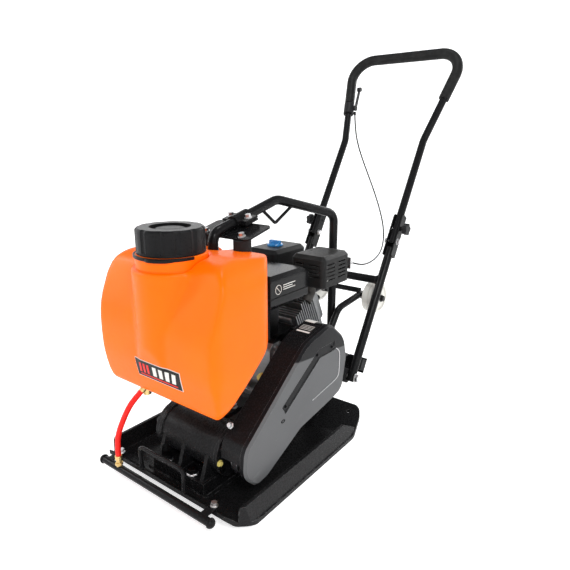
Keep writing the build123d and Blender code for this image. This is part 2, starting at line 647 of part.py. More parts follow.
# --- water tank -------------------------------------------------------------------
TANK_SIDE = [
    (-286.0, 254.0),
    (-306.0, 350.0),
    (-306.0, 440.0),
    (-250.0, 580.0),
    (-180.0, 586.0),
    (-38.0, 571.0),
    (-38.0, 446.0),
    (-268.0, 256.0),
]
TANK_SIDE_BENDS = [14, 200, 160, 50, 90, 24, 30, 14]
TANK_PLAN = [(WT_HALF, -325.0), (194.0, -132.0), (116.0, -38.0)]
TANK_PLAN_BENDS = [50, 50, 40]
TANK_FRONT = [(188.0, 240.0), (199.0, 400.0), (190.0, 590.0)]
PILLAR_SIDE = [(-330.0, 580.0), (-330.0, 430.0), (-291.0, 286.0), (-150.0, 366.0), (-150.0, 580.0)]
PILLAR_R = 90.0
TANK_FRONT_BENDS = [54, 300, 76]
SLOT_R = 21.0


def mirrored(points, bends):
    """Closed outline from its right half, bottom to top, and the bends to match."""
    left = [(-x, y) for x, y in reversed(points)]
    return FilletPolyline(*points, *left, radius=list(bends) + list(reversed(bends)), close=True)


def tank_body(inset):
    """Body of the water tank, drawn in by inset, with the pillar under its neck."""
    side = make_face(FilletPolyline(*TANK_SIDE, radius=TANK_SIDE_BENDS, close=True))
    plan = make_face(mirrored(TANK_PLAN, TANK_PLAN_BENDS))
    front = make_face(mirrored(TANK_FRONT, TANK_FRONT_BENDS))
    if inset:
        side, plan, front = offset(side, -inset), offset(plan, -inset), offset(front, -inset)
    body = extrude(Plane.YZ.offset(-250) * side, amount=500)
    body &= extrude(Plane.XY.offset(200) * plan, amount=450)
    body &= extrude(Plane.XZ.offset(-10) * front, amount=400)
    pillar = rod((0, NECK_Y, 270), (0, NECK_Y, SHOULDER_Z - inset), PILLAR_R - inset)
    pillar_side = make_face(Polyline(*PILLAR_SIDE, close=True))
    if inset:
        pillar_side = offset(pillar_side, -inset)
    pillar &= extrude(Plane.YZ.offset(-PILLAR_R) * pillar_side, amount=2 * PILLAR_R)
    body += pillar
    body -= block((-SLOT_R - inset, SLOT_R + inset), (CAGE_FRONT_Y, 0), (200, 620))
    body -= rod((0, CAGE_FRONT_Y, 200), (0, CAGE_FRONT_Y, 620), SLOT_R + inset)
    return body


def make_water_tank():
    tank = tank_body(0) + rod((0, NECK_Y, SHOULDER_Z - 10), (0, NECK_Y, CAP_BASE - 1), 80)
    tank += rod((0, NECK_Y, CAP_BASE - 2), (0, NECK_Y, NECK_TOP), NECK_R)
    tank -= tank_body(WT_WALL)
    tank -= rod((0, NECK_Y, SHOULDER_Z - 30), (0, NECK_Y, NECK_TOP + 5), NECK_R - NECK_WALL)
    save("water_tank", tank)


def make_tank_cap():
    cap = rod((0, NECK_Y, CAP_BASE), (0, NECK_Y, CAP_TOP), CAP_R)
    for k in range(CAP_LOBES):
        turn = radians(360 / CAP_LOBES * k)
        x, y = (CAP_R + 11) * cos(turn), NECK_Y + (CAP_R + 11) * sin(turn)
        cap -= rod((x, y, CAP_BASE + 6), (x, y, CAP_TOP + 1), 13.5)
    cap = chamfer(cap.faces().sort_by(Axis.Z)[-1].edges(), 4)
    cap -= rod((0, NECK_Y, CAP_TOP - 13), (0, NECK_Y, CAP_TOP + 1), 46)
    cap += rod((0, NECK_Y, CAP_TOP - 14), (0, NECK_Y, CAP_TOP - 10), 30)
    cap -= rod((0, NECK_Y, CAP_BASE - 1), (0, NECK_Y, NECK_TOP + 0.5), NECK_R + 0.4)
    save("tank_cap", cap)


OUTLET = (-85.0, -262.0)


def under(y):
    """Height of the tank's slanted underside."""
    (y0, z0), (y1, z1) = TANK_SIDE[-1], TANK_SIDE[-2]
    return z0 + (y - y0) * (z1 - z0) / (y1 - y0)


def make_tank_fittings():
    x, y = OUTLET
    front, rear = -250, CAGE_FRONT_Y - 17
    tray = [(front, under(front)), (rear, under(rear)), (rear, under(rear) - 5), (front, under(front) - 5)]
    cradle = side_prism(tray, -62, 62)
    cradle += ring((0, CAGE_FRONT_Y, 318), (0, CAGE_FRONT_Y, 376), CAGE_R + 5, CAGE_R)
    web = [(front + 15, under(front + 15) - 4), (rear + 1, under(rear + 1) - 4), (rear + 1, 320)]
    cradle += side_prism(web, -3, 3)
    save("tank_cradle", cradle)
    start, out = Vector(*HOSE[0]), (Vector(*HOSE[1]) - Vector(*HOSE[0])).normalized()
    valve = rod((x, y + 2, 231), (x, y + 2, 275), 10) + rod((x, y + 2, 240), (x, y + 14, 240), 7.5)
    valve += rod(start - out * 18, start, 7.5)
    valve -= tank_body(0)
    valve -= rod((x, y + 10, 240), (x, y + 30, 240), 3 + FIT)
    save("tank_valve", valve)
    lever = rod((x, y + 10.5, 240), (x, y + 16, 240), 3) + rod((x, y + 14.5, 240), (x, y + 18, 240), 8)
    lever += block((x - 5, x + 32), (y + 15, y + 18), (235, 245))
    save("valve_lever", lever)


# --- roll bar and tank hanger -------------------------------------------------------
def make_roll_cage():
    path = [
        (0, CAGE_FRONT_Y, DECK_Z + 5),
        (0, CAGE_FRONT_Y, CAGE_FRONT_Z),
        CAGE_PEAK,
        CAGE_REAR,
        (CAGE_REAR[0], CAGE_REAR[1], SADDLE_TOP + 5),
    ]
    cage = bent(path, [30, 60, 34], CAGE_R, CAGE_WALL)
    cage += block((-38, 38), (CAGE_FRONT_Y - 14, CAGE_FRONT_Y + 46), (DECK_Z, DECK_Z + 6))
    cage += block((CAGE_REAR[0] - 24, CAGE_REAR[0] + 24), (350, 385), (SADDLE_TOP, SADDLE_TOP + 6))
    low = lerp((0, CAGE_FRONT_Y, CAGE_FRONT_Z), CAGE_PEAK, 0.72)
    high = lerp(CAGE_PEAK, CAGE_REAR, 0.28)
    eye = [low, lerp(low, high, 0.42)[:2] + (low[2] - 46,), high]
    cage += bent([Vector(*p) for p in eye], [8], 4.5) - cage_tube(path)
    save("roll_cage", cage)


def cage_tube(path):
    """The roll bar as a full bar, to trim what is welded against it."""
    return bent(path, [30, 60, 34], CAGE_R - 1)


def slope_frame():
    """Local frame on the roll bar's front slope: X across, Y along the tube."""
    start, end = Vector(0, CAGE_FRONT_Y, CAGE_FRONT_Z), Vector(*CAGE_PEAK)
    along = (end - start).normalized()
    centre = start + along * 102.0
    return Plane(origin=centre, x_dir=(1, 0, 0), z_dir=Vector(1, 0, 0).cross(along))


SHELL_R, SHELL_HALF, PLATE_DROP = 18.0, 28.0, 18.0


def clamp_points():
    """Heads of the two clamp bolts and of the two buffer nuts."""
    frame = slope_frame()
    points = []
    for side in (-1, 1):
        ear = Vector(side * 29, 0, 6)
        buffer = Vector(side * BUFFER_X, BUFFER_ALONG, 4 - PLATE_DROP)
        points.append((frame.from_local_coords(ear), frame.z_dir))
        points.append((frame.from_local_coords(buffer), frame.z_dir))
    return points


BUFFER_X, BUFFER_ALONG = 60.0, -67.0


def make_tank_hanger():
    """Split clamp on the roll bar, the plate hung under it and the rubber buffers on the tank."""
    frame = slope_frame()
    shell = frame * (Rot(90, 0, 0) * Cylinder(SHELL_R, 2 * SHELL_HALF))
    bore = frame * (Rot(90, 0, 0) * Cylinder(CAGE_R, 200))
    halves = []
    for side, depth in ((1, 24), (-1, PLATE_DROP - 4)):
        half = shell + frame * Pos(0, 0, side * 3) * Box(82, 44, 6)
        half &= frame * Pos(0, 0, side * (depth / 2 + 0.4)) * Box(120, 120, depth - 0.8)
        halves.append(half - bore)
    save("tank_clamp", *halves)
    plate = frame * Pos(0, -34, 2 - PLATE_DROP) * Box(180, 96, 4)
    plate = fillet(plate.edges().filter_by(lambda e: abs(e.length - 4) < 0.01), 14)
    save("tank_bracket", plate)
    buffers = []
    for side in (-1, 1):
        foot = frame.from_local_coords(Vector(side * BUFFER_X, BUFFER_ALONG, -PLATE_DROP))
        body = rod((foot.X, foot.Y, 567), (foot.X, foot.Y, 640), 22)
        body -= frame * Pos(0, 0, 100 - PLATE_DROP) * Box(400, 400, 200)
        body -= tank_body(0)
        buffers.append(body.solids().sort_by(Axis.Z)[-1])
    save("tank_buffers", *buffers)


# --- handle -------------------------------------------------------------------------
def along_lower(reach, lift=0.0):
    """Side-plane point at a reach up the lower tube from its pivot and a lift to its rear."""
    y0, z0 = PIVOT
    dy, dz = JOINT[0] - y0, JOINT[1] - z0
    length = hypot(dy, dz)
    return (y0 + (dy * reach + dz * lift) / length, z0 + (dz * reach - dy * lift) / length)


LOWER_LENGTH = hypot(JOINT[0] - PIVOT[0], JOINT[1] - PIVOT[1])
CHANNEL_IN, CHANNEL_T = 13.0, 3.0
KNOB_REACH = LOWER_LENGTH + 46.0
PIN_R = 5.0


def make_lower_handle():
    """Two tubes, their crossbar and the channels at their top, welded as one."""
    frame = []
    for side in (-1, 1):
        x = side * TUBE_X
        start, end = along_lower(-14), along_lower(LOWER_LENGTH - 24)
        frame.append(ring((x, *start), (x, *end), LOWER_R, LOWER_R - TUBE_WALL))
        corners = [(-52, -14), (88, -14), (94, -6), (94, 18), (-52, 18)]
        outline = [along_lower(LOWER_LENGTH + a, b) for a, b in corners]
        for low in (x - CHANNEL_IN - CHANNEL_T, x + CHANNEL_IN):
            frame.append(side_prism(outline, low, low + CHANNEL_T))
        web = [along_lower(LOWER_LENGTH + a, b) for a, b in ((-52, 15.5), (94, 15.5), (94, 18), (-52, 18))]
        frame.append(side_prism(web, x - CHANNEL_IN - 1, x + CHANNEL_IN + 1))
        nut = along_lower(KNOB_REACH)
        outer = sorted((x + side * (CHANNEL_IN + CHANNEL_T), x + side * (CHANNEL_IN + CHANNEL_T + 5)))
        frame.append(rod((outer[0], *nut), (outer[1], *nut), 8))
    cross = along_lower(CROSSBAR_AT * LOWER_LENGTH)
    bar = ring((-TUBE_X, *cross), (TUBE_X, *cross), LOWER_R - 0.5, LOWER_R - 3)
    handle = frame[0].fuse(*frame[1:])
    bores = []
    for side in (-1, 1):
        x = side * TUBE_X
        low, high = along_lower(-20), along_lower(LOWER_LENGTH - 24)
        bores.append(rod((x, *low), (x, *high), LOWER_R - TUBE_WALL))
    handle = handle.fuse(bar)
    handle = handle.cut(*bores)
    handle = handle.cut(rod((-200, *PIVOT), (200, *PIVOT), 8.0))
    handle = handle.cut(rod((-200, *JOINT), (200, *JOINT), PIN_R))
    knob = along_lower(KNOB_REACH)
    handle = handle.cut(rod((-200, *knob), (200, *knob), 4.0 + FIT))
    save("lower_handle", handle)


def make_handle_bolts():
    """Pivot bolts at the foot of the handle and hinge pins at its joint."""
    bolts = []
    for side in (-1, 1):
        head_x = side * (TUBE_X + LOWER_R)
        tip_x = side * (RAIL_X - 8)
        pivot = rod((tip_x, *PIVOT), (head_x, *PIVOT), 8.0 - FIT)
        pivot += hex_head((head_x, *PIVOT), (side, 0, 0), 22, 9, 15)
        pin_in, pin_out = side * (TUBE_X - CHANNEL_IN - CHANNEL_T), side * (TUBE_X + CHANNEL_IN + CHANNEL_T)
        pin = rod((pin_in, *JOINT), (pin_out, *JOINT), PIN_R)
        pin += hex_head((pin_out, *JOINT), (side, 0, 0), 15, 7, 10)
        pin += hex_head((pin_in, *JOINT), (-side, 0, 0), 15, 7, 9)
        bolts += [pivot, pin]
    save("handle_bolts", *bolts)


def make_handle_rubbers():
    """Bushes round the pivot bolts and the stop blocks behind the tubes."""
    rubbers = []
    corners = ((30, LOWER_R + 0.4), (66, LOWER_R + 0.4), (66, 38), (30, 38))
    outline = [along_lower(*corner) for corner in corners]
    for side in (-1, 1):
        inner, outer = side * (RAIL_X + RAIL_T), side * (TUBE_X - LOWER_R - 0.5)
        rubbers.append(ring((inner, *PIVOT), (outer, *PIVOT), 22, 8.0 + FIT))
        ends = sorted((side * (TUBE_X - 14), side * (TUBE_X + 14)))
        rubbers.append(side_prism(outline, ends[0], ends[1], 2))
    save("handle_rubbers", *rubbers)


def upper_path():
    """Centre line of the upper handle, from one hinge to the other."""
    dy, dz = BEND[0] - JOINT[0], BEND[1] - JOINT[1]
    back = 8.0 / hypot(dy, dz)
    foot = (TUBE_X, JOINT[0] - dy * back, JOINT[1] - dz * back)
    right = [foot, (TUBE_X, *BEND), HANDLE_TOP]
    left = [(-x, y, z) for x, y, z in reversed(right)]
    return right + left


def make_upper_handle():
    tube = bent(upper_path(), [90, TOP_BEND_R, TOP_BEND_R, 90], UPPER_R, TUBE_WALL)
    tube -= rod((-200, *JOINT), (200, *JOINT), PIN_R + FIT)
    save("upper_handle", tube)
    start = lerp((TUBE_X, *BEND), HANDLE_TOP, 0.46)
    left = (-start[0], start[1], start[2])
    other = (-HANDLE_TOP[0], HANDLE_TOP[1], HANDLE_TOP[2])
    grip = bent([start, HANDLE_TOP, other, left], [TOP_BEND_R, TOP_BEND_R], GRIP_R)
    grip -= bent([start, HANDLE_TOP, other, left], [TOP_BEND_R, TOP_BEND_R], UPPER_R)
    save("handle_grip", grip)


def make_knobs():
    """Star knobs whose screws press on the upper tubes inside the channels."""
    for name, side in (("star_knob_left", -1), ("star_knob_right", 1)):
        y, z = along_lower(KNOB_REACH)
        tip = side * (TUBE_X + UPPER_R + 0.3)
        face = side * (TUBE_X + CHANNEL_IN + CHANNEL_T + 5.4)
        knob = rod((tip, y, z), (face, y, z), 4.0)
        knob += rod((face, y, z), (face + side * 6, y, z), 9)
        star = rod((face + side * 6, y, z), (face + side * 20, y, z), 15)
        for k in range(5):
            turn = radians(72 * k)
            lobe = (y + 13 * cos(turn), z + 13 * sin(turn))
            star += rod((face + side * 6, *lobe), (face + side * 20, *lobe), 6.5)
        knob += star
        save(name, knob)


LEVER_PIVOT = (-158.0, 839.0, 949.0)


def make_throttle():
    """Collar and lever on the left tube, cable, and the arm it pulls on the engine."""
    low, high = (-TUBE_X, *BEND), (-HANDLE_TOP[0], HANDLE_TOP[1], HANDLE_TOP[2])
    start, end = lerp(low, high, 0.33), lerp(low, high, 0.45)
    x, y, z = LEVER_PIVOT
    cable_top = Vector(*CABLE[0])
    ferrule_top = cable_top + (cable_top - Vector(*CABLE[1])).normalized() * 12
    collar = ring(start, end, 19, UPPER_R)
    collar += rod((start[0], y, z), (x, y, z), 9)
    collar += rod(cable_top, ferrule_top, 4.5)
    collar += rod(lerp(start, end, 0.15), (cable_top + ferrule_top) / 2, 4)
    collar -= rod(low, high, UPPER_R)
    collar -= rod((x - 7, y, z), (x + 10, y, z), 3 + FIT)
    save("throttle_clamp", collar)
    lever = rod((x - 6, y, z), (x + 1, y, z), 3) + rod((x + 0.3, y, z), (x + 5, y, z), 10)
    blade = [(y - 7, z), (y + 7, z), (y + 34, z + 72), (y + 22, z + 74)]
    lever += side_prism(blade, x + 0.5, x + 4.5, [4, 4, 5, 5])
    lever += rod((x - 5, y + 27, z + 68), (x + 8, y + 27, z + 68), 8)
    save("throttle_lever", lever)
    route = [Vector(*point) for point in CABLE]
    save("throttle_cable", cord(route, CABLE_R, "throttle cable"))
    end, before = Vector(*CABLE[-1]), Vector(*CABLE[-2])
    plate = block((100, 144), (316, 319), (466, 500))
    plate += rod(end, end + (end - before).normalized() * 29, 4.5)
    plate += rod((112, 319, 486), (112, 326, 486), 6)
    plate -= rod((112, 319, 486), (112, 328, 486), 3 + FIT)
    save("cable_bracket", plate)
    arm = rod((112, 320, 486), (112, 326.4, 486), 3) + block((107, 117), (326.4, 329), (478, 512))
    save("throttle_arm", arm)


def cord(points, radius, label):
    """Straight runs joined by arcs as large as each pair of runs allows."""
    bends = []
    for before, here, after in zip(points, points[1:], points[2:]):
        run = min((here - before).length, (after - here).length)
        turn = radians((here - before).get_angle(after - here))
        bends.append(0.45 * run / tan(turn / 2))
    path = FilletPolyline(*points, radius=bends)
    tube = sweep(Plane(origin=path @ 0, z_dir=path % 0) * Circle(radius), path=path)
    ratio = tube.volume / (pi * radius**2 * path.length)
    print(f"{label}: length {path.length:.1f}, volume ratio {ratio:.4f}, radii {[round(b) for b in bends]}")
    return tube


CABLE_R = 2.5
CABLE = [
    (-159, 842, 924),
    (-156, 843, 875),
    (-147, 851, 817),
    (-128, 864, 754),
    (-105, 875, 693),
    (-77, 876, 632),
    (-46, 863, 574),
    (-14, 833, 524),
    (16, 786, 488),
    (42, 729, 464),
    (65, 668, 450),
    (84, 604, 444),
    (100, 539, 443),
    (113, 474, 447),
    (124, 408, 458),
    (131, 345, 478),
]
HOSE_R = 7.0
HOSE = [
    (-85, -277, 244),
    (-92, -294, 227),
    (-103, -306, 204),
    (-116, -317, 168),
    (-127, -326, 131),
    (-127, -330, 97),
    (-127, -330, 66),
]


def make_hose():
    save("water_hose", cord([Vector(*point) for point in HOSE], HOSE_R, "water hose"))
    x, y, z = HOSE[-1]
    fitting = rod((x, y, BAR_Z), (x, y, z), 7) + hex_head((x, y, 50), (0, 0, 1), 17, 7)
    fitting -= rod((x - 30, y, BAR_Z), (x + 30, y, BAR_Z), BAR_R)
    save("hose_fitting", fitting.solids().sort_by(Axis.Z)[-1])


# --- transport wheels -----------------------------------------------------------------
def make_wheels():
    arms = []
    for side in (-1, 1):
        x = side * ARM_X
        path = [(x, *SWING_PIVOT), (x, *SWING_ELBOW), (x, *SWING_SHOULDER), (x, *AXLE)]
        arms.append(bent(path, [50, 30], ARM_R))
        ends = sorted((side * (ARM_X - 13), side * (WHEEL_IN - 1.0)))
        arms.append(rod((ends[0], *AXLE), (ends[1], *AXLE), 14))
        arms.append(rod((side * (ARM_X - 10), *SWING_PIVOT), (side * (ARM_X + 12), *SWING_PIVOT), 13))
        stub = sorted((side * (WHEEL_IN - 2), side * (WHEEL_OUT + 3)))
        arms.append(rod((stub[0], *AXLE), (stub[1], *AXLE), AXLE_R))
        arms.append(rod((side * (ARM_X + 10), *SWING_PIVOT), (side * 104, *SWING_PIVOT), 6.0))
        arms.append(hex_head((side * (WHEEL_OUT + 3), *AXLE), (side, 0, 0), 17, 8, 12))
    bar = rod((-ARM_X, *SWING_BAR), (ARM_X, *SWING_BAR), 9.0)
    frame = bar.fuse(*arms)
    save("wheel_frame", frame)
    for name, side in (("wheel_left", -1), ("wheel_right", 1)):
        ends = sorted((side * WHEEL_IN, side * WHEEL_OUT))
        wheel = rod((ends[0], *AXLE), (ends[1], *AXLE), WHEEL_R)
        wheel = fillet(wheel.edges(), 5)
        middle = (ends[0] + ends[1]) / 2
        wheel -= ring((middle - 1.5, *AXLE), (middle + 1.5, *AXLE), WHEEL_R + 1, WHEEL_R - 3)
        for x in ends:
            wheel -= ring((x - 4, *AXLE), (x + 4, *AXLE), WHEEL_R - 10, 16)
        wheel -= rod((ends[0] - 1, *AXLE), (ends[1] + 1, *AXLE), AXLE_R + FIT)
        save(name, wheel)


def main():
    """Make every node and write its STEP file."""
    make_base_plate()
    make_sprinkler()
    make_front_bail()
    make_exciter()
    make_drive()
    make_belt_guard()
    make_deck()
    make_frame_bolts()
    make_crankcase()
    make_cylinder()
    make_recoil()
    make_starter_grip()
    make_fuel_tank()
    make_air_cleaner()
    make_carburettor()
    make_muffler()
    make_engine_small()
    make_water_tank()
    make_tank_cap()
    make_tank_fittings()
    make_roll_cage()
    make_tank_hanger()
    make_lower_handle()
    make_handle_bolts()
    make_handle_rubbers()
    make_upper_handle()
    make_knobs()
    make_throttle()
    make_hose()
    make_wheels()
    os.makedirs("parts", exist_ok=True)
    for name, shape in parts.items():
        export_step(shape, f"parts/{name}.step")


main()
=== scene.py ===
"""Looks of the walk-behind plate compactor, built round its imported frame.

Metres, in the frame's own axes: +Z up, -Y the front, +X the belt guard's side.
"""

import json
from math import cos, pi, radians, sin

import bmesh
import bpy
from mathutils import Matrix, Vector
from mathutils.bvhtree import BVHTree


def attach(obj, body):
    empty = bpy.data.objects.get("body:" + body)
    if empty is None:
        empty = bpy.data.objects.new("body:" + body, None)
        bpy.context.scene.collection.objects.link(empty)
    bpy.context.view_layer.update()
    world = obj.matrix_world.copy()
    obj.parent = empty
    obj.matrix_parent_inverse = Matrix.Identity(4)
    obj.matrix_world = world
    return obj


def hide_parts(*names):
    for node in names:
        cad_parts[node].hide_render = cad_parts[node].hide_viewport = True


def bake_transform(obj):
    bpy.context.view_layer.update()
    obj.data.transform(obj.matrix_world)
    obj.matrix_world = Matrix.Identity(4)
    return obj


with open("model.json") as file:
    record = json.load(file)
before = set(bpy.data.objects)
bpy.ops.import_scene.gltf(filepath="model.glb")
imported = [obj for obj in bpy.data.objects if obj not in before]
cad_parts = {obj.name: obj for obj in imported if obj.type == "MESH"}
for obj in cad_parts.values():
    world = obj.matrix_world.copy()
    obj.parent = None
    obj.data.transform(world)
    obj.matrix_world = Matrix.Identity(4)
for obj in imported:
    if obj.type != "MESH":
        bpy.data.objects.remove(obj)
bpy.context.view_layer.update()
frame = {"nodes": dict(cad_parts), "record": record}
DOWN = Vector((0, 0, -1))
INWARDS_FROM_RIGHT = Vector((-1, 0, 0))
INWARDS_FROM_FRONT = Vector((0, 1, 0))


# --- rings of vertices --------------------------------------------------------------
def circle(count):
    """Angles evenly round a circle."""
    return [2 * pi * k / count for k in range(count)]


def skin_rings(mesh, rings):
    """Faces between rings of vertices, from each ring to the next one."""
    sides = len(rings[0])
    for low, high in zip(rings, rings[1:]):
        for k in range(sides):
            after = (k + 1) % sides
            mesh.faces.new((low[k], low[after], high[after], high[k]))


def close_ends(mesh, rings):
    mesh.faces.new(rings[0])
    mesh.faces.new(rings[-1])


# --- camera, floor and light ----------------------------------------------------
def make_camera():
    data = bpy.data.cameras.new("camera")
    data.lens = 32.23
    data.sensor_width = 36.0
    data.clip_start = 0.05
    camera = bpy.data.objects.new("camera", data)
    camera.location = (0.8697, -0.9622, 0.8265)
    camera.rotation_euler = (radians(74.3), 0, radians(37.1))
    bpy.context.scene.collection.objects.link(camera)
    bpy.context.scene.camera = camera


def area_light(name, place, target, size, power, colour=(1, 1, 1)):
    data = bpy.data.lights.new(name, "AREA")
    data.shape = "RECTANGLE"
    data.size, data.size_y = size
    data.energy = power
    data.color = colour
    light = bpy.data.objects.new(name, data)
    light.location = place
    aim = Vector(target) - Vector(place)
    light.rotation_euler = aim.to_track_quat("-Z", "Y").to_euler()
    bpy.context.scene.collection.objects.link(light)


def make_light():
    world = bpy.data.worlds.new("studio")
    world.use_nodes = True
    background = world.node_tree.nodes["Background"]
    background.inputs["Color"].default_value = (0.95, 0.97, 1.0, 1)
    background.inputs["Strength"].default_value = 0.34
    bpy.context.scene.world = world
    bpy.context.scene.view_settings.view_transform = "Standard"
    centre = (0, 0.1, 0.45)
    area_light("key", (2.2, -1.6, 2.6), centre, (0.7, 0.7), 42)
    area_light("side", (-2.4, -1.4, 1.7), centre, (0.3, 1.6), 24)
    area_light("top", (0.2, 0.4, 3.0), centre, (0.9, 0.6), 22)
    area_light("back", (0.6, 3.2, 1.8), centre, (1.4, 0.6), 24)


def make_floor():
    """Round pale dish that the machine stands in, seamless from every side."""
    flat, bend, rise, hub, bend_steps, gap = 4.5, 2.5, 5.0, 0.02, 8, 0.0005
    profile = [(hub, 0.0), (flat, 0.0)]
    for step in range(1, bend_steps + 1):
        turn = radians(90 * step / bend_steps)
        profile.append((flat + bend * sin(turn), bend - bend * cos(turn)))
    profile.append((flat + bend, rise))
    mesh = bmesh.new()
    rings = [[mesh.verts.new((r * cos(t), r * sin(t), z - gap)) for t in circle(64)] for r, z in profile]
    skin_rings(mesh, rings)
    mesh.faces.new(rings[0])
    floor = object_from(mesh, "floor", smooth=True)
    look = Look("floor_paper")
    look.set("Roughness", 0.9)
    look.set("Specular IOR Level", 0.1)
    look.set("Emission Color", (1, 1, 1, 1))
    look.set("Emission Strength", 0.62)
    look.colour(look.blend(look.noise(1.5), (0.80, 0.80, 0.80), (0.83, 0.83, 0.83)))
    floor.data.materials.append(look.material)


# --- node material helpers --------------------------------------------------------
class Look:
    """A Principled material and short calls that feed its sockets; lengths are metres."""

    def __init__(self, name, rough=0.5, metal=0.0):
        self.material = bpy.data.materials.new(name)
        self.material.use_nodes = True
        self.tree = self.material.node_tree
        self.bsdf = self.tree.nodes["Principled BSDF"]
        self.set("Roughness", rough)
        self.set("Metallic", metal)
        self.set("Specular IOR Level", 0.1)

    def set(self, socket, value):
        """A value that is the same all over the surface."""
        self.bsdf.inputs[socket].default_value = value

    def link(self, source, target):
        self.tree.links.new(source, target)

    def node(self, kind, **settings):
        made = self.tree.nodes.new(kind)
        for key, value in settings.items():
            setattr(made, key, value)
        return made

    def feed(self, socket, value):
        """Link an output, or set a plain number or colour."""
        if isinstance(value, bpy.types.NodeSocket):
            self.link(value, socket)
        elif isinstance(value, tuple) and len(value) == 3 and socket.type == "RGBA":
            socket.default_value = (*value, 1)
        else:
            socket.default_value = value

    def place(self):
        """Position in the frame's axes, in metres."""
        return self.node("ShaderNodeTexCoord").outputs["Object"]

    def axes(self, vector=None):
        """X, Y and Z of the position."""
        split = self.node("ShaderNodeSeparateXYZ")
        self.link(vector or self.place(), split.inputs[0])
        return split.outputs

    def noise(self, scale, detail=2.0, stretch=(1, 1, 1)):
        mapping = self.node("ShaderNodeMapping")
        self.link(self.place(), mapping.inputs["Vector"])
        mapping.inputs["Scale"].default_value = stretch
        made = self.node("ShaderNodeTexNoise")
        self.link(mapping.outputs[0], made.inputs["Vector"])
        made.inputs["Scale"].default_value = scale
        made.inputs["Detail"].default_value = detail
        return made.outputs["Fac"]

    def cells(self, scale):
        made = self.node("ShaderNodeTexVoronoi")
        self.link(self.place(), made.inputs["Vector"])
        made.inputs["Scale"].default_value = scale
        return made.outputs["Distance"]

    def span(self, value, low, high, start=0.0, end=1.0):
        """Value from low to high turned into start to end, and held beyond."""
        made = self.node("ShaderNodeMapRange", clamp=True)
        self.feed(made.inputs["Value"], value)
        for key, number in (("From Min", low), ("From Max", high), ("To Min", start), ("To Max", end)):
            self.feed(made.inputs[key], number)
        return made.outputs["Result"]

    def inside(self, low, high):
        """1 inside a box of space, 0 outside it, with a narrow fade between."""
        mask, fade = 1.0, 0.001
        for value, start, end in zip(self.axes(), low, high):
            mask = self.maths("MULTIPLY", mask, self.span(value, start - fade, start))
            mask = self.maths("MULTIPLY", mask, self.span(value, end + fade, end))
        return mask

    def maths(self, operation, a, b=0.0):
        made = self.node("ShaderNodeMath", operation=operation)
        self.feed(made.inputs[0], a)
        self.feed(made.inputs[1], b)
        return made.outputs[0]

    def blend(self, factor, a, b):
        """Colour a where factor is 0 and b where it is 1."""
        made = self.node("ShaderNodeMix", data_type="RGBA")
        self.feed(made.inputs[0], factor)
        self.feed(made.inputs[6], a)
        self.feed(made.inputs[7], b)
        return made.outputs[2]

    def edges(self, radius):
        """About 1 within radius of a sharp edge and 0 on flat or gently curved stretches."""
        bevel = self.node("ShaderNodeBevel", samples=4)
        bevel.inputs["Radius"].default_value = radius
        dot = self.node("ShaderNodeVectorMath", operation="DOT_PRODUCT")
        self.link(bevel.outputs[0], dot.inputs[0])
        self.link(self.node("ShaderNodeNewGeometry").outputs["Normal"], dot.inputs[1])
        return self.span(dot.outputs["Value"], 0.99, 0.8)

    def colour(self, value):
        self.feed(self.bsdf.inputs["Base Color"], value)

    def rough(self, value):
        self.feed(self.bsdf.inputs["Roughness"], value)

    def relief(self, *layers, soft_edge=0.0):
        """Bump layers, each (height, depth in metres), over edges softened by soft_edge."""
        normal = None
        if soft_edge:
            bevel = self.node("ShaderNodeBevel", samples=4)
            bevel.inputs["Radius"].default_value = soft_edge
            normal = bevel.outputs[0]
        for height, depth in layers:
            bump = self.node("ShaderNodeBump")
            bump.inputs["Strength"].default_value = 1.0
            bump.inputs["Distance"].default_value = depth
            self.link(height, bump.inputs["Height"])
            if normal:
                self.link(normal, bump.inputs["Normal"])
            normal = bump.outputs[0]
        self.link(normal, self.bsdf.inputs["Normal"])


# --- materials --------------------------------------------------------------------
GUARD_SCREWS_BOX = ((0.198, -0.1, 0.2), (0.22, 0.2, 0.31))
# Box of painted shade under the fuel tank, where the die-cast engine goes near black.
ENGINE_SHADE_BOX = ((-0.3, -0.2, 0.31), (0.3, 0.14, 0.6))


def scaled(colour, factor, extra=0.0):
    """Colour times factor plus extra, held at 1."""
    return tuple(min(1.0, part * factor + extra) for part in colour)


def painted(name, colour, rough, peel=0.00004, wear=0.5, dust=0.25, coat=0.0, soft_edge=0.0012):
    """Paint on metal: faint orange peel, dust on what faces up, bare rubbed edges."""
    look = Look(name, rough)
    look.set("Coat Weight", coat)
    look.set("Coat Roughness", 0.12)
    broad, fine = look.noise(9, 4), look.noise(260, 3)
    tone = look.blend(broad, scaled(colour, 0.8), scaled(colour, 1.35, 0.002))
    up = look.axes(look.node("ShaderNodeTexCoord").outputs["Normal"])[2]
    patches = look.span(look.noise(40, 5), 0.35, 0.75, 0.0, dust)
    film = look.maths("MULTIPLY", look.span(up, 0.4, 1.0), patches)
    tone = look.blend(film, tone, (0.10, 0.098, 0.094))
    rub = look.maths("MULTIPLY", look.edges(0.0014), look.span(look.noise(120, 4), 0.45, 0.62, 0.0, wear))
    look.colour(look.blend(rub, tone, (0.22, 0.22, 0.22)))
    look.rough(look.span(fine, 0.3, 0.7, rough - 0.05, rough + 0.09))
    look.relief((look.noise(520, 2), peel), soft_edge=soft_edge)
    return look.material


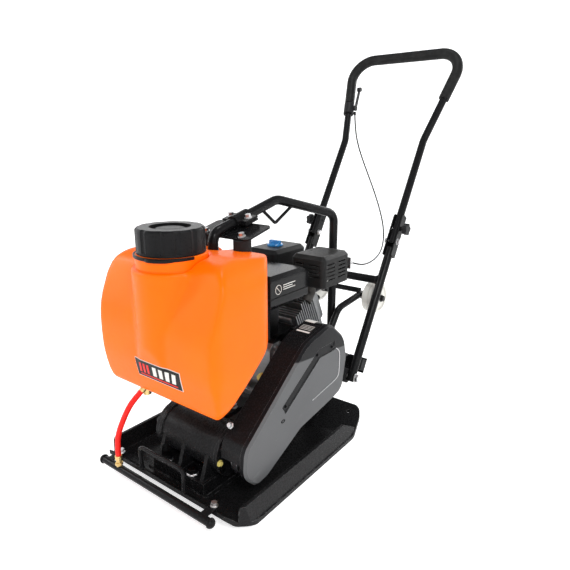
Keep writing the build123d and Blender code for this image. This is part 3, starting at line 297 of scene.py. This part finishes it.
def casting(name, colour, rough, metal, pit=0.00025, paint=True, dark_at=None):
    """Cast metal: pitted, slightly lumpy skin, with painted shade in box dark_at, where it goes near
    black.
    """
    look = Look(name, rough, metal)
    mottled = look.noise(60, 5)
    tone = look.blend(mottled, scaled(colour, 0.7), scaled(colour, 1.3))
    rub = look.maths("MULTIPLY", look.edges(0.0015), look.span(look.noise(150, 3), 0.4, 0.6, 0.0, 0.35))
    tone = look.blend(rub, tone, (0.25, 0.25, 0.25) if paint else (0.8, 0.8, 0.8))
    # Painted shade: inside box dark_at the colour goes near black.
    if dark_at:
        tone = look.blend(look.inside(*dark_at), tone, (0.012, 0.012, 0.013))
    look.colour(tone)
    look.rough(look.span(look.noise(200, 3), 0.3, 0.7, rough - 0.08, rough + 0.12))
    look.relief((look.cells(330), pit), (look.noise(900, 2), pit * 0.4), soft_edge=0.0018)
    return look.material


def metal(name, colour, rough, lay=(1, 1, 1), stain=(0.25, 0.22, 0.18), dark_at=None):
    """Bare or plated metal with fine machining marks and a little staining, black in box dark_at."""
    look = Look(name, rough, 1.0)
    marks = look.noise(700, 2, lay)
    tarnish = look.span(look.noise(90, 4), 0.52, 0.75, 0.0, 0.55)
    tone = look.blend(marks, scaled(colour, 0.82), scaled(colour, 1.12))
    tone = look.blend(tarnish, tone, tuple(c * s * 2.4 for c, s in zip(colour, stain)))
    if dark_at:
        tone = look.blend(look.inside(*dark_at), tone, (0.02, 0.02, 0.021))
    look.colour(tone)
    look.rough(look.span(marks, 0.3, 0.7, rough - 0.07, rough + 0.12))
    look.relief((marks, 0.00003), soft_edge=0.0005)
    return look.material


def foot_bolts():
    """Blackened bolt heads on bright zinc washers."""
    look = Look("dark_bolts", 0.3, 1.0)
    height = look.axes()[2]
    above, below = look.span(height, 0.0554, 0.0556), look.span(height, 0.0521, 0.0519)
    dark = look.blend(look.noise(300, 3), (0.018, 0.018, 0.019), (0.05, 0.05, 0.052))
    bright = look.blend(look.noise(200, 3), (0.55, 0.55, 0.56), (0.8, 0.8, 0.8))
    look.colour(look.blend(look.maths("MAXIMUM", above, below), bright, dark))
    look.rough(look.span(look.noise(400, 2), 0.3, 0.7, 0.22, 0.42))
    look.relief((look.noise(700, 2), 0.00003), soft_edge=0.0006)
    return look.material


def plastic(name, colour, rough, grain=700.0, depth=0.00003, coat=0.0, scuff=0.3, soft_edge=0.0012):
    """Moulded plastic: fine spark grain, faint flow tone and light scuffs."""
    look = Look(name, rough)
    look.set("Coat Weight", coat)
    look.set("Coat Roughness", 0.2)
    tone = look.blend(look.noise(14, 3), scaled(colour, 0.9), scaled(colour, 1.1))
    marks = look.span(look.noise(45, 6, (1, 1, 5)), 0.6, 0.8, 0.0, scuff)
    look.colour(look.blend(marks, tone, scaled(colour, 1.25, 0.012)))
    look.rough(look.span(look.noise(grain * 0.5, 2), 0.3, 0.7, rough - 0.04, rough + 0.08))
    look.relief((look.noise(grain, 2), depth), soft_edge=soft_edge)
    return look.material


def rubber(name, colour=(0.016, 0.016, 0.017), rough=0.62):
    """Matt rubber or foam with a pale bloom in patches."""
    look = Look(name, rough)
    bloom = look.span(look.noise(55, 5), 0.45, 0.8, 0.0, 0.5)
    look.colour(look.blend(bloom, colour, scaled(colour, 1.0, 0.018)))
    look.rough(look.span(look.noise(300, 3), 0.3, 0.7, rough - 0.08, rough + 0.12))
    look.relief((look.noise(1100, 2), 0.00004), soft_edge=0.0012)
    return look.material


def orange_plastic():
    """Rotomoulded tank plastic: soft sheen, faint dimples and a slightly uneven tone."""
    look = Look("tank_plastic", 0.36)
    look.set("Subsurface Weight", 0.06)
    look.set("Subsurface Radius", (0.012, 0.004, 0.002))
    look.set("Coat Weight", 0.06)
    look.set("Coat Roughness", 0.15)
    tone = look.blend(look.noise(7, 3), (0.95, 0.122, 0.0), (1.0, 0.155, 0.0))
    specks = look.span(look.noise(420, 3), 0.62, 0.8, 0.0, 0.35)
    look.colour(look.blend(specks, tone, (0.95, 0.18, 0.01)))
    look.rough(look.span(look.noise(120, 4), 0.3, 0.7, 0.32, 0.43))
    look.relief((look.noise(24, 2), 0.00035), (look.noise(650, 2), 0.00003))
    return look.material


def guard_paint():
    """Grey guard face with a black top corner, black side wall and black recessed stripe."""
    look = Look("guard_face_paint", 0.38)
    place = look.axes()
    normal = look.axes(look.node("ShaderNodeTexCoord").outputs["Normal"])
    wall = look.span(normal[0], 0.6, 0.5)
    recess = look.span(place[0], 0.2044, 0.2038)
    in_recess = look.maths("MULTIPLY", recess, look.span(normal[0], 0.85, 0.95))
    slope = look.maths("ADD", place[2], look.maths("MULTIPLY", place[1], 0.12))  # the corner's edge leans
    corner = look.span(slope, 0.302, 0.305)
    black = look.maths("MAXIMUM", look.maths("MAXIMUM", wall, in_recess), corner)
    grey = look.blend(look.noise(8, 4), (0.088, 0.090, 0.093), (0.112, 0.114, 0.117))
    scratch = look.span(look.noise(60, 6, (1, 0.3, 1)), 0.64, 0.75, 0.0, 0.3)
    grey = look.blend(scratch, grey, (0.2, 0.2, 0.2))
    tone = look.blend(black, grey, (0.007, 0.007, 0.008))
    rub = look.maths("MULTIPLY", look.edges(0.0012), look.span(look.noise(90, 4), 0.35, 0.6, 0.15, 0.6))
    look.colour(look.blend(rub, tone, (0.35, 0.35, 0.35)))
    look.rough(look.span(look.noise(200, 3), 0.3, 0.7, 0.33, 0.45))
    look.relief((look.noise(480, 2), 0.00003), soft_edge=0.001)
    return look.material


def blue_plastic():
    """Clear blue knob with a lighter and a darker tone in it."""
    look = Look("knob_blue", 0.15)
    look.set("Transmission Weight", 0.35)
    look.set("IOR", 1.49)
    look.set("Coat Weight", 0.5)
    look.colour(look.blend(look.noise(70, 3), (0.01, 0.13, 0.42), (0.05, 0.35, 0.75)))
    look.rough(look.span(look.noise(300, 2), 0.3, 0.7, 0.1, 0.25))
    look.relief((look.noise(500, 2), 0.00003), soft_edge=0.001)
    return look.material


def make_blacks():
    """Materials of the black and grey painted steel and of the black mouldings."""
    gloss = (0.006, 0.006, 0.0065)
    moulded = (0.009, 0.009, 0.0095)
    return {
        "gloss_black_paint": painted("frame_paint", gloss, 0.2, wear=0.25, dust=0.01),
        "plate_paint": painted(
            "plate_paint", (0.008, 0.008, 0.0085), 0.26, peel=0.00012, wear=0.9, dust=0.02
        ),
        "guard_grey": guard_paint(),
        "guard_black": painted("guard_inner_paint", gloss, 0.24, wear=0.4, dust=0.02),
        "fuel_tank_paint": painted(
            "fuel_tank_paint", gloss, 0.16, peel=0.00002, wear=0.15, dust=0.0, coat=0.1
        ),
        "exhaust_paint": painted("heat_paint", (0.010, 0.010, 0.010), 0.38, peel=0.00006, wear=0.6),
        "engine_black_plastic": plastic("engine_plastic", moulded, 0.34, 500, 0.00005),
        "cap_black": plastic("cap_plastic", (0.008, 0.008, 0.0085), 0.3, 600, 0.00004),
        "control_plastic": plastic("control_plastic", (0.016, 0.016, 0.017), 0.4),
        "cable_black": plastic("cable_sheath", (0.012, 0.012, 0.013), 0.34),
        "belt_rubber": rubber("belt_rubber"),
        "mount_rubber": rubber("mount_rubber"),
        "plug_rubber": rubber("plug_rubber"),
        "grip_foam": rubber("grip_rubber", (0.010, 0.010, 0.010), 0.5),
    }


def make_metals():
    """Materials of castings, plated fasteners and turned parts."""
    return {
        "exciter_casting": casting("exciter_skin", (0.007, 0.007, 0.0075), 0.26, 0.0, 0.0004),
        # Painted shade: the die-cast engine goes near black in ENGINE_SHADE_BOX, under the fuel tank.
        "engine_aluminium": casting(
            "die_cast", (0.26, 0.265, 0.27), 0.4, 1.0, 0.00012, paint=False, dark_at=ENGINE_SHADE_BOX
        ),
        "exhaust_iron": casting("exhaust_iron", (0.05, 0.047, 0.044), 0.5, 0.6),
        "zinc_fasteners": metal("zinc_plate", (0.66, 0.66, 0.67), 0.28, dark_at=GUARD_SCREWS_BOX),
        "dark_fasteners": foot_bolts(),
        "machined_steel": metal("turned_steel", (0.55, 0.55, 0.56), 0.3, (8, 1, 1)),
        "brass_fittings": metal("brass", (0.72, 0.52, 0.22), 0.3),
    }


def make_bright_plastics():
    """Materials of the tank, hose, knob, plugs and wheels."""
    return {
        "air_knob_blue": blue_plastic(),
        "plug_yellow": plastic("plug_yellow", (0.62, 0.52, 0.16), 0.42),
        "hose_red": plastic("hose_rubber", (0.72, 0.012, 0.008), 0.34, 900, 0.00002, coat=0.2),
        "wheel_nylon": plastic("wheel_nylon", (0.70, 0.69, 0.65), 0.42, 400, 0.00005, scuff=0.5),
        "tank_orange": orange_plastic(),
    }


# --- mesh helpers -----------------------------------------------------------------
def object_from(mesh, name, smooth=False):
    """Object from a bmesh, with its faces turned outwards."""
    bmesh.ops.recalc_face_normals(mesh, faces=mesh.faces)
    data = bpy.data.meshes.new(name)
    mesh.to_mesh(data)
    mesh.free()
    for face in data.polygons:
        face.use_smooth = smooth
    made = bpy.data.objects.new(name, data)
    bpy.context.scene.collection.objects.link(made)
    return made


def shade_by_angle(item, angle=35):
    """Smooth shading that keeps edges sharper than the angle."""
    mesh = bmesh.new()
    mesh.from_mesh(item.data)
    for face in mesh.faces:
        face.smooth = True
    for edge in mesh.edges:
        edge.smooth = edge.calc_face_angle(0) < radians(angle)
    mesh.to_mesh(item.data)
    mesh.free()


def apply_modifiers(item):
    """The modified mesh becomes the object's own."""
    graph = bpy.context.evaluated_depsgraph_get()
    data = bpy.data.meshes.new_from_object(item.evaluated_get(graph))
    item.modifiers.clear()
    item.data = data


def finish_piece(item, slot, body):
    """Material, slot and body of a piece."""
    item.data.materials.clear()
    item.data.materials.append(materials[slot])
    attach(item, body)
    return item


materials = {**make_blacks(), **make_metals(), **make_bright_plastics()}


def paint_cad_nodes():
    """Every CAD node takes the material of its slot."""
    for part in frame["record"]["subparts"]:
        item = frame["nodes"][part["node"]]
        item.data.materials.clear()
        item.data.materials.append(materials[part["material_slot"]])


# --- water tank --------------------------------------------------------------------
NECK = Vector((0.0, -0.229, 0.0))
COLLAR_R, COLLAR_FOOT, COLLAR_TOP = 0.0803, 0.562, 0.592
NECK_R, BORE_R, NECK_TOP, CAP_TOP = 0.068, 0.063, 0.624, 0.649
BORE_FOOT, SKIN = 0.4615, 0.001


def disc_stack(name, rings, sides=96, centre=NECK):
    """Round closed solid about an upright axis, the neck's unless told, from (radius, height) pairs."""
    mesh = bmesh.new()
    loops = []
    for r, z in rings:
        loops.append([mesh.verts.new(centre + Vector((r * cos(t), r * sin(t), z))) for t in circle(sides)])
    skin_rings(mesh, loops)
    close_ends(mesh, loops)
    return object_from(mesh, name)


def combine(item, other, operation):
    """Boolean of item with other, which is used up."""
    modifier = item.modifiers.new("combine", "BOOLEAN")
    modifier.operation = operation
    modifier.object = other
    apply_modifiers(item)
    bpy.data.objects.remove(other)


def keep_outer(item):
    """Only the outermost closed surface stays, without the hollow inside it."""
    mesh = bmesh.new()
    mesh.from_mesh(item.data)
    left, islands = set(mesh.verts), []
    while left:
        front = [left.pop()]
        island = set(front)
        while front:
            near = {edge.other_vert(v) for v in front for edge in v.link_edges} - island
            island |= near
            left -= near
            front = list(near)
        islands.append(island)
    islands.sort(key=lambda found: max(v.co.x for v in found))
    spare = [v for island in islands[:-1] for v in island]
    bmesh.ops.delete(mesh, geom=spare, context="VERTS")
    mesh.to_mesh(item.data)
    mesh.free()


def voxelise(item, size, iterations):
    """Remeshed at the voxel size and smoothed, so that edges come out round."""
    remesh = item.modifiers.new("remesh", "REMESH")
    remesh.mode = "VOXEL"
    remesh.voxel_size = size
    apply_modifiers(item)
    keep_outer(item)
    smooth = item.modifiers.new("smooth", "SMOOTH")
    smooth.factor = 0.5
    smooth.iterations = iterations
    apply_modifiers(item)


def make_tank():
    """Moulded shell: the tank's own shape with every corner rounded."""
    shell = bpy.data.objects.new("tank_shell", frame["nodes"]["water_tank"].data.copy())
    bpy.context.scene.collection.objects.link(shell)
    plug_r, seat_r, bore_r = 0.0655, COLLAR_R + 0.0005, BORE_R + SKIN
    above = CAP_TOP + 0.011
    combine(shell, disc_stack("bore_plug", [(plug_r, 0.600), (plug_r, 0.615)]), "UNION")
    keep_outer(shell)
    combine(shell, disc_stack("neck_cut", [(seat_r, COLLAR_FOOT), (seat_r, above)]), "DIFFERENCE")
    voxelise(shell, 0.003, 16)
    voxelise(shell, 0.004, 6)
    combine(shell, disc_stack("bore_cut", [(bore_r, BORE_FOOT - 0.0015), (bore_r, above)]), "DIFFERENCE")
    for face in shell.data.polygons:
        face.use_smooth = True
    finish_piece(shell, "tank_orange", "base")
    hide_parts("water_tank")
    return shell


def make_tank_neck():
    """Collar, threaded neck and bore, as one turned skin that sits in the shell."""
    buried, root_r, threads = 0.548, NECK_R - 0.001, 3
    outside = [(COLLAR_R - 0.004, buried), (COLLAR_R, buried + 0.004), (COLLAR_R, COLLAR_TOP - 0.002)]
    outside += [(COLLAR_R - 0.002, COLLAR_TOP), (NECK_R + 0.0005, COLLAR_TOP)]
    outside.append((root_r, COLLAR_TOP + 0.001))
    for turn in range(threads):
        z = COLLAR_TOP + 0.006 + turn * 0.008
        outside += [(root_r, z), (NECK_R, z + 0.0012), (NECK_R, z + 0.0032), (root_r, z + 0.0044)]
    outside += [(NECK_R - 0.0012, NECK_TOP - 0.001), (NECK_R - 0.0022, NECK_TOP)]
    bore = [(BORE_R + SKIN, NECK_TOP), (BORE_R, NECK_TOP - 0.001), (BORE_R, BORE_FOOT), (0.004, 0.4605)]
    back = [(0.004, 0.4595), (BORE_R + 0.0008, 0.4602), (BORE_R + 0.0008, buried)]
    neck = disc_stack("tank_neck", back + outside + bore)
    shade_by_angle(neck)
    finish_piece(neck, "tank_orange", "base")


# --- cords ---------------------------------------------------------------------------
CABLE_TOP = [
    (-0.159, 0.842, 0.924),
    (-0.156, 0.843, 0.875),
    (-0.147, 0.851, 0.817),
    (-0.128, 0.864, 0.754),
    (-0.105, 0.875, 0.693),
    (-0.077, 0.876, 0.632),
    (-0.046, 0.863, 0.574),
    (-0.014, 0.833, 0.524),
    (0.016, 0.786, 0.488),
]
CABLE_FOOT = [
    (0.042, 0.729, 0.464),
    (0.065, 0.668, 0.450),
    (0.084, 0.604, 0.444),
    (0.100, 0.539, 0.443),
    (0.113, 0.474, 0.447),
    (0.124, 0.408, 0.458),
    (0.131, 0.345, 0.478),
]
CABLE_D = 0.005
HOSE = [
    (-0.085, -0.277, 0.244),
    (-0.092, -0.294, 0.227),
    (-0.103, -0.306, 0.204),
    (-0.116, -0.317, 0.168),
    (-0.127, -0.326, 0.131),
    (-0.127, -0.330, 0.097),
    (-0.127, -0.330, 0.066),
]
HOSE_D = 0.014


def route_curve(name, points, bevel):
    """Curve with one NURBS spline on the route's points."""
    data = bpy.data.curves.new(name, "CURVE")
    data.dimensions = "3D"
    data.bevel_depth = bevel
    data.bevel_resolution = 6
    data.resolution_u = 16
    data.use_fill_caps = bevel > 0
    spline = data.splines.new("NURBS")
    spline.points.add(len(points) - 1)
    for point, place in zip(spline.points, points):
        point.co = (*place, 1)
    spline.order_u = 3
    spline.use_endpoint_u = True
    made = bpy.data.objects.new(name, data)
    bpy.context.scene.collection.objects.link(made)
    return made


def curve_line(points):
    """Points read along the route's spline, and its length."""
    probe = route_curve("probe", points, 0)
    data = bpy.data.meshes.new_from_object(probe)
    line = [v.co.copy() for v in data.vertices]
    bpy.data.objects.remove(probe)
    bpy.data.meshes.remove(data)
    return line, sum((b - a).length for a, b in zip(line, line[1:]))


def tube_mesh(name, line, radius, sides=14):
    """Round tube along a line of points, capped, or joined to itself where the line comes round."""
    mesh = bmesh.new()
    joined = (line[-1] - line[0]).length < 1e-6
    if joined:
        line = line[:-1]
    side = (line[1] - line[0]).orthogonal().normalized()
    rings = []
    for index, point in enumerate(line):
        if joined:
            ahead = line[(index + 1) % len(line)] - line[index - 1]
        else:
            ahead = line[min(index + 1, len(line) - 1)] - line[max(index - 1, 0)]
        ahead.normalize()
        side = (side - ahead * side.dot(ahead)).normalized()
        other = ahead.cross(side)
        spokes = [side * cos(t) + other * sin(t) for t in circle(sides)]
        rings.append([mesh.verts.new(point + radius * spoke) for spoke in spokes])
    if joined:
        skin_rings(mesh, rings + rings[:1])
    else:
        skin_rings(mesh, rings)
        close_ends(mesh, rings)
    return object_from(mesh, name, smooth=True)


def ring_line(centre, across, up, count):
    """Closed line of points round an ellipse."""
    centre, across, up = Vector(centre), Vector(across), Vector(up)
    points = [centre + across * cos(t) + up * sin(t) for t in circle(count)]
    return points + points[:1]


def make_cable():
    """Throttle cable in two lengths that meet behind the handle."""
    middle = tuple((a + b) / 2 for a, b in zip(CABLE_TOP[-1], CABLE_FOOT[0]))
    runs = (
        ("throttle_cable_upper", CABLE_TOP + [middle], "handle_upper", "handle_lower"),
        ("throttle_cable_lower", [middle] + CABLE_FOOT, "handle_lower", "base"),
    )
    for name, points, near, far in runs:
        line, length = curve_line(points)
        tube = tube_mesh(name, line, CABLE_D / 2)
        tube.data.materials.append(materials["cable_black"])
        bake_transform(tube)
        if near == "handle_upper":
            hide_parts("throttle_cable")


def make_hose():
    """Water hose from the tank's valve to the bar."""
    hose = route_curve("sprinkler_hose", HOSE, HOSE_D / 2)
    finish_piece(hose, "hose_red", "base")
    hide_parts("water_hose")
    curve_line(HOSE)[1]


# --- plates and labels laid on a surface ------------------------------------------------
def surface_of(item):
    """Search tree of an object's mesh, for casting rays onto it."""
    return BVHTree.FromPolygons(
        [item.matrix_world @ v.co for v in item.data.vertices],
        [tuple(face.vertices) for face in item.data.polygons],
    )


def border(grid):
    """Outer points of a grid of rows, in order round it."""
    right = [row[-1] for row in grid[1:]]
    left = [row[0] for row in grid[-2:0:-1]]
    return grid[0] + right + grid[-1][-2::-1] + left


def laid_plate(name, surface, corner, across, up, cast, slot, lift=0.0012, slant=0.0):
    """Thin plate that follows a surface: a grid from corner, cast onto it, with a closed back."""
    pitch, sunk = 0.004, 0.0004
    across, up = Vector(across), Vector(up)
    columns = max(2, int(across.length / pitch))
    rows = max(2, int(up.length / pitch))
    mesh = bmesh.new()
    front, back = [], []
    for row in range(rows + 1):
        fronts, backs = [], []
        for column in range(columns + 1):
            start = Vector(corner) + across * (column / columns + slant * row / rows) + up * (row / rows)
            hit = surface.ray_cast(start, cast)[0]
            fronts.append(mesh.verts.new(hit - cast * lift))
            backs.append(mesh.verts.new(hit + cast * sunk))
        front.append(fronts)
        back.append(backs)
    for grid in (front, back):
        for low, high in zip(grid, grid[1:]):
            for k in range(columns):
                mesh.faces.new((low[k], low[k + 1], high[k + 1], high[k]))
    skin_rings(mesh, [border(front), border(back)])
    plate = object_from(mesh, name)
    shade_by_angle(plate)
    finish_piece(plate, slot, "base")


def make_badge(surface):
    """Plain badge on the tank's lower front: black plate, pale rim and slanted bars."""
    left, right, foot, top, rim, ahead_of_tank = -0.059, 0.092, 0.305, 0.352, 0.0014, -0.45

    def bar(name, x, width, z0, z1, slot, lift, slant=0.0):
        corner, across, up = (x, ahead_of_tank, z0), (width, 0, 0), (0, 0, z1 - z0)
        laid_plate(name, surface, corner, across, up, INWARDS_FROM_FRONT, slot, lift, slant)

    width = right - left
    bar("badge_rim", left, width, foot, top, "wheel_nylon", 0.0012)
    bar("badge_plate", left + rim, width - 2 * rim, foot + rim, top - rim, "cap_black", 0.0017)
    bar_foot, bar_top, bar_lift = foot + 0.013, top - 0.009, 0.0023
    for k in range(3):
        x = left + 0.012 + k * 0.013
        bar(f"badge_red_{k}", x, 0.007, bar_foot, bar_top, "hose_red", bar_lift, 0.6)
    for k in range(4):
        x = left + 0.058 + k * 0.021
        bar(f"badge_pale_{k}", x, 0.012, bar_foot, bar_top, "wheel_nylon", bar_lift, 0.35)
    bar("badge_underline", left + 0.012, width - 0.026, foot + 0.006, foot + 0.009, "hose_red", bar_lift)


def make_fuel_label():
    """Plain ring sign and three lines on the fuel tank's side."""
    tank = surface_of(frame["nodes"]["fuel_tank"])
    for k in range(3):
        corner, length = (0.2, 0.040, 0.4595 + k * 0.0058), 0.052 - 0.012 * (k % 2)
        across, up = (0, length, 0), (0, 0, 0.0020)
        name = f"fuel_label_line_{k}"
        laid_plate(name, tank, corner, across, up, INWARDS_FROM_RIGHT, "wheel_nylon", 0.0004)
    centre, ring_r, line_r, reach = Vector((0.1062, 0.020, 0.464)), 0.012, 0.0008, 0.008
    ring = ring_line(centre, (0, ring_r, 0), (0, 0, ring_r), 36)
    finish_piece(tube_mesh("fuel_label_ring", ring, line_r, 8), "wheel_nylon", "base")
    stroke = [centre + t * Vector((0, reach, -reach)) for t in (-1, 0, 1)]
    finish_piece(tube_mesh("fuel_label_stroke", stroke, line_r, 8), "wheel_nylon", "base")


def make_guard_labels():
    """Plain plate with a bar and lines, and a pale tag, on top of the belt guard."""
    guard, over = surface_of(frame["nodes"]["belt_guard_back"]), 0.5

    def patch(name, x, y, width, depth, slot, lift):
        laid_plate(name, guard, (x, y, over), (width, 0, 0), (0, depth, 0), DOWN, slot, lift)

    patch("guard_label", 0.134, 0.045, 0.050, 0.050, "cap_black", 0.0008)
    patch("guard_label_bar", 0.139, 0.052, 0.040, 0.006, "wheel_nylon", 0.0012)
    for k in range(4):
        patch(f"guard_label_line_{k}", 0.139, 0.065 + k * 0.006, 0.038, 0.0016, "wheel_nylon", 0.0011)
    patch("guard_tag", 0.1315, 0.102, 0.030, 0.050, "wheel_nylon", 0.001)


# --- small metalwork ----------------------------------------------------------------------
def make_guard_lines():
    """Raised line and keyhole mark on the guard's face."""
    face_x, line_r = 0.2052, 0.0013
    line = [(0.146, 0.288), (0.158, 0.280), (0.1655, 0.268), (0.1655, 0.235), (0.164, 0.205)]
    line += [(0.152, 0.195), (0.09, 0.187), (0.035, 0.179)]
    crease = curve_line([(face_x, y, z) for y, z in line])[0]
    finish_piece(tube_mesh("guard_crease", crease, line_r, 8), "machined_steel", "base")
    rim = ring_line((face_x, -0.091, 0.177), (0, 0.0065, 0), (0, 0, 0.0032), 24)
    finish_piece(tube_mesh("guard_keyhole", rim, line_r, 8), "guard_black", "base")


def make_cap_face():
    """Dished face in the cap's recess, with a raised disc in the middle."""
    profile = [(0.002, 0.0098), (0.0458, 0.0098), (0.0458, 0.0075), (0.0445, 0.0085), (0.0335, 0.0085)]
    profile += [(0.032, 0.0045), (0.030, 0.0035), (0.018, 0.003), (0.002, 0.003)]
    face = disc_stack("cap_face", [(r, CAP_TOP - depth) for r, depth in profile], 64)
    shade_by_angle(face)
    finish_piece(face, "cap_black", "tank_lid")


def make_cap_lip(name, first, last, reach, low, high):
    """Arc of black ring on the collar, from angle first to last, tapered at both ends."""
    root, seat, corner = 0.0805, 0.0797, 0.0008
    steps = int((last - first) / 4)
    mesh = bmesh.new()
    rows = []
    for k in range(steps + 1):
        t = radians(first + (last - first) * k / steps)
        ease = min(1.0, 4.0 * k / steps, 4.0 * (steps - k) / steps)
        far = root + (reach - root) * ease + 0.0004
        section = [(seat, low), (far - corner, low), (far, low + 0.001), (far, high - 0.001)]
        section += [(far - corner, high), (seat, high)]
        rows.append([mesh.verts.new(NECK + Vector((r * cos(t), r * sin(t), z))) for r, z in section])
    skin_rings(mesh, rows)
    close_ends(mesh, rows)
    lip = object_from(mesh, name)
    shade_by_angle(lip)
    finish_piece(lip, "cap_black", "base")


def weld(name, centre, axis, radius, body, bead=0.0022):
    """Rippled weld bead round a tube."""
    ripples, wave, lean, axis = int(radius * 2200), 0.0004, 0.0003, Vector(axis)
    side = axis.orthogonal().normalized()
    other = axis.cross(side)
    line = []
    for t in circle(ripples * 4):
        outwards = side * cos(t) + other * sin(t)
        reach = radius + wave * cos(ripples * t)
        line.append(Vector(centre) + reach * outwards + axis * lean * sin(ripples * t))
    finish_piece(tube_mesh(name, line + line[:1], bead, 8), "gloss_black_paint", body)


def make_welds():
    """Beads at the feet of the roll bar and bail and at the ends of the handle's crossbar."""
    upright, sideways = (0, 0, 1), (1, 0, 0)
    weld("weld_cage_front", (0, -0.100, 0.1455), upright, 0.0138, "base")
    weld("weld_cage_rear", (0.052, 0.365, 0.1715), upright, 0.0138, "base")
    for side in (-1, 1):
        weld(f"weld_crossbar_{side + 1}", (side * 0.1405, 0.498, 0.3925), sideways, 0.0136, "handle_lower")
        weld(f"weld_bail_{side + 1}", (side * 0.0763, -0.300, 0.0475), upright, 0.0055, "base", 0.0018)


def make_hose_clamp():
    """Crimped sleeve where the hose meets the bar's fitting."""
    foot = Vector((HOSE[-1][0], HOSE[-1][1], 0))
    rings = [(0.0066, 0.066), (0.0086, 0.0665), (0.0088, 0.069), (0.0083, 0.0705), (0.0088, 0.072)]
    rings += [(0.0088, 0.0755), (0.0084, 0.077), (0.0068, 0.0775)]
    sleeve = disc_stack("hose_sleeve", rings, 40, foot)
    shade_by_angle(sleeve)
    finish_piece(sleeve, "brass_fittings", "base")


def make_guard_bolt():
    """Flange bolt on the guard's front corner, under the tank."""
    centre, axis, sunk = Vector((0.137, -0.2045, 0.196)), Vector((0, -0.8, 0.6)), 0.004
    steps = [(0.0085, 0.0), (0.0085, 0.0015), (0.0062, 0.003), (0.0062, 0.008), (0.0052, 0.0092)]
    bolt = disc_stack("guard_bolt", [(r, z - sunk) for r, z in steps], 6, Vector())
    lean = (-DOWN).rotation_difference(axis)
    for v in bolt.data.vertices:
        v.co = centre + lean @ v.co
    finish_piece(bolt, "zinc_fasteners", "base")


make_camera()
make_light()
make_floor()
make_cable()
make_hose()
paint_cad_nodes()
tank = make_tank()
make_tank_neck()
make_badge(surface_of(tank))
make_fuel_label()
make_guard_labels()
make_guard_lines()
make_cap_face()
make_cap_lip("cap_lock_ring", -175, -5, 0.0835, 0.5855, 0.5925)
make_cap_lip("cap_lock_tab", -88, -38, 0.0875, 0.5845, 0.5915)
make_welds()
make_hose_clamp()
make_guard_bolt()
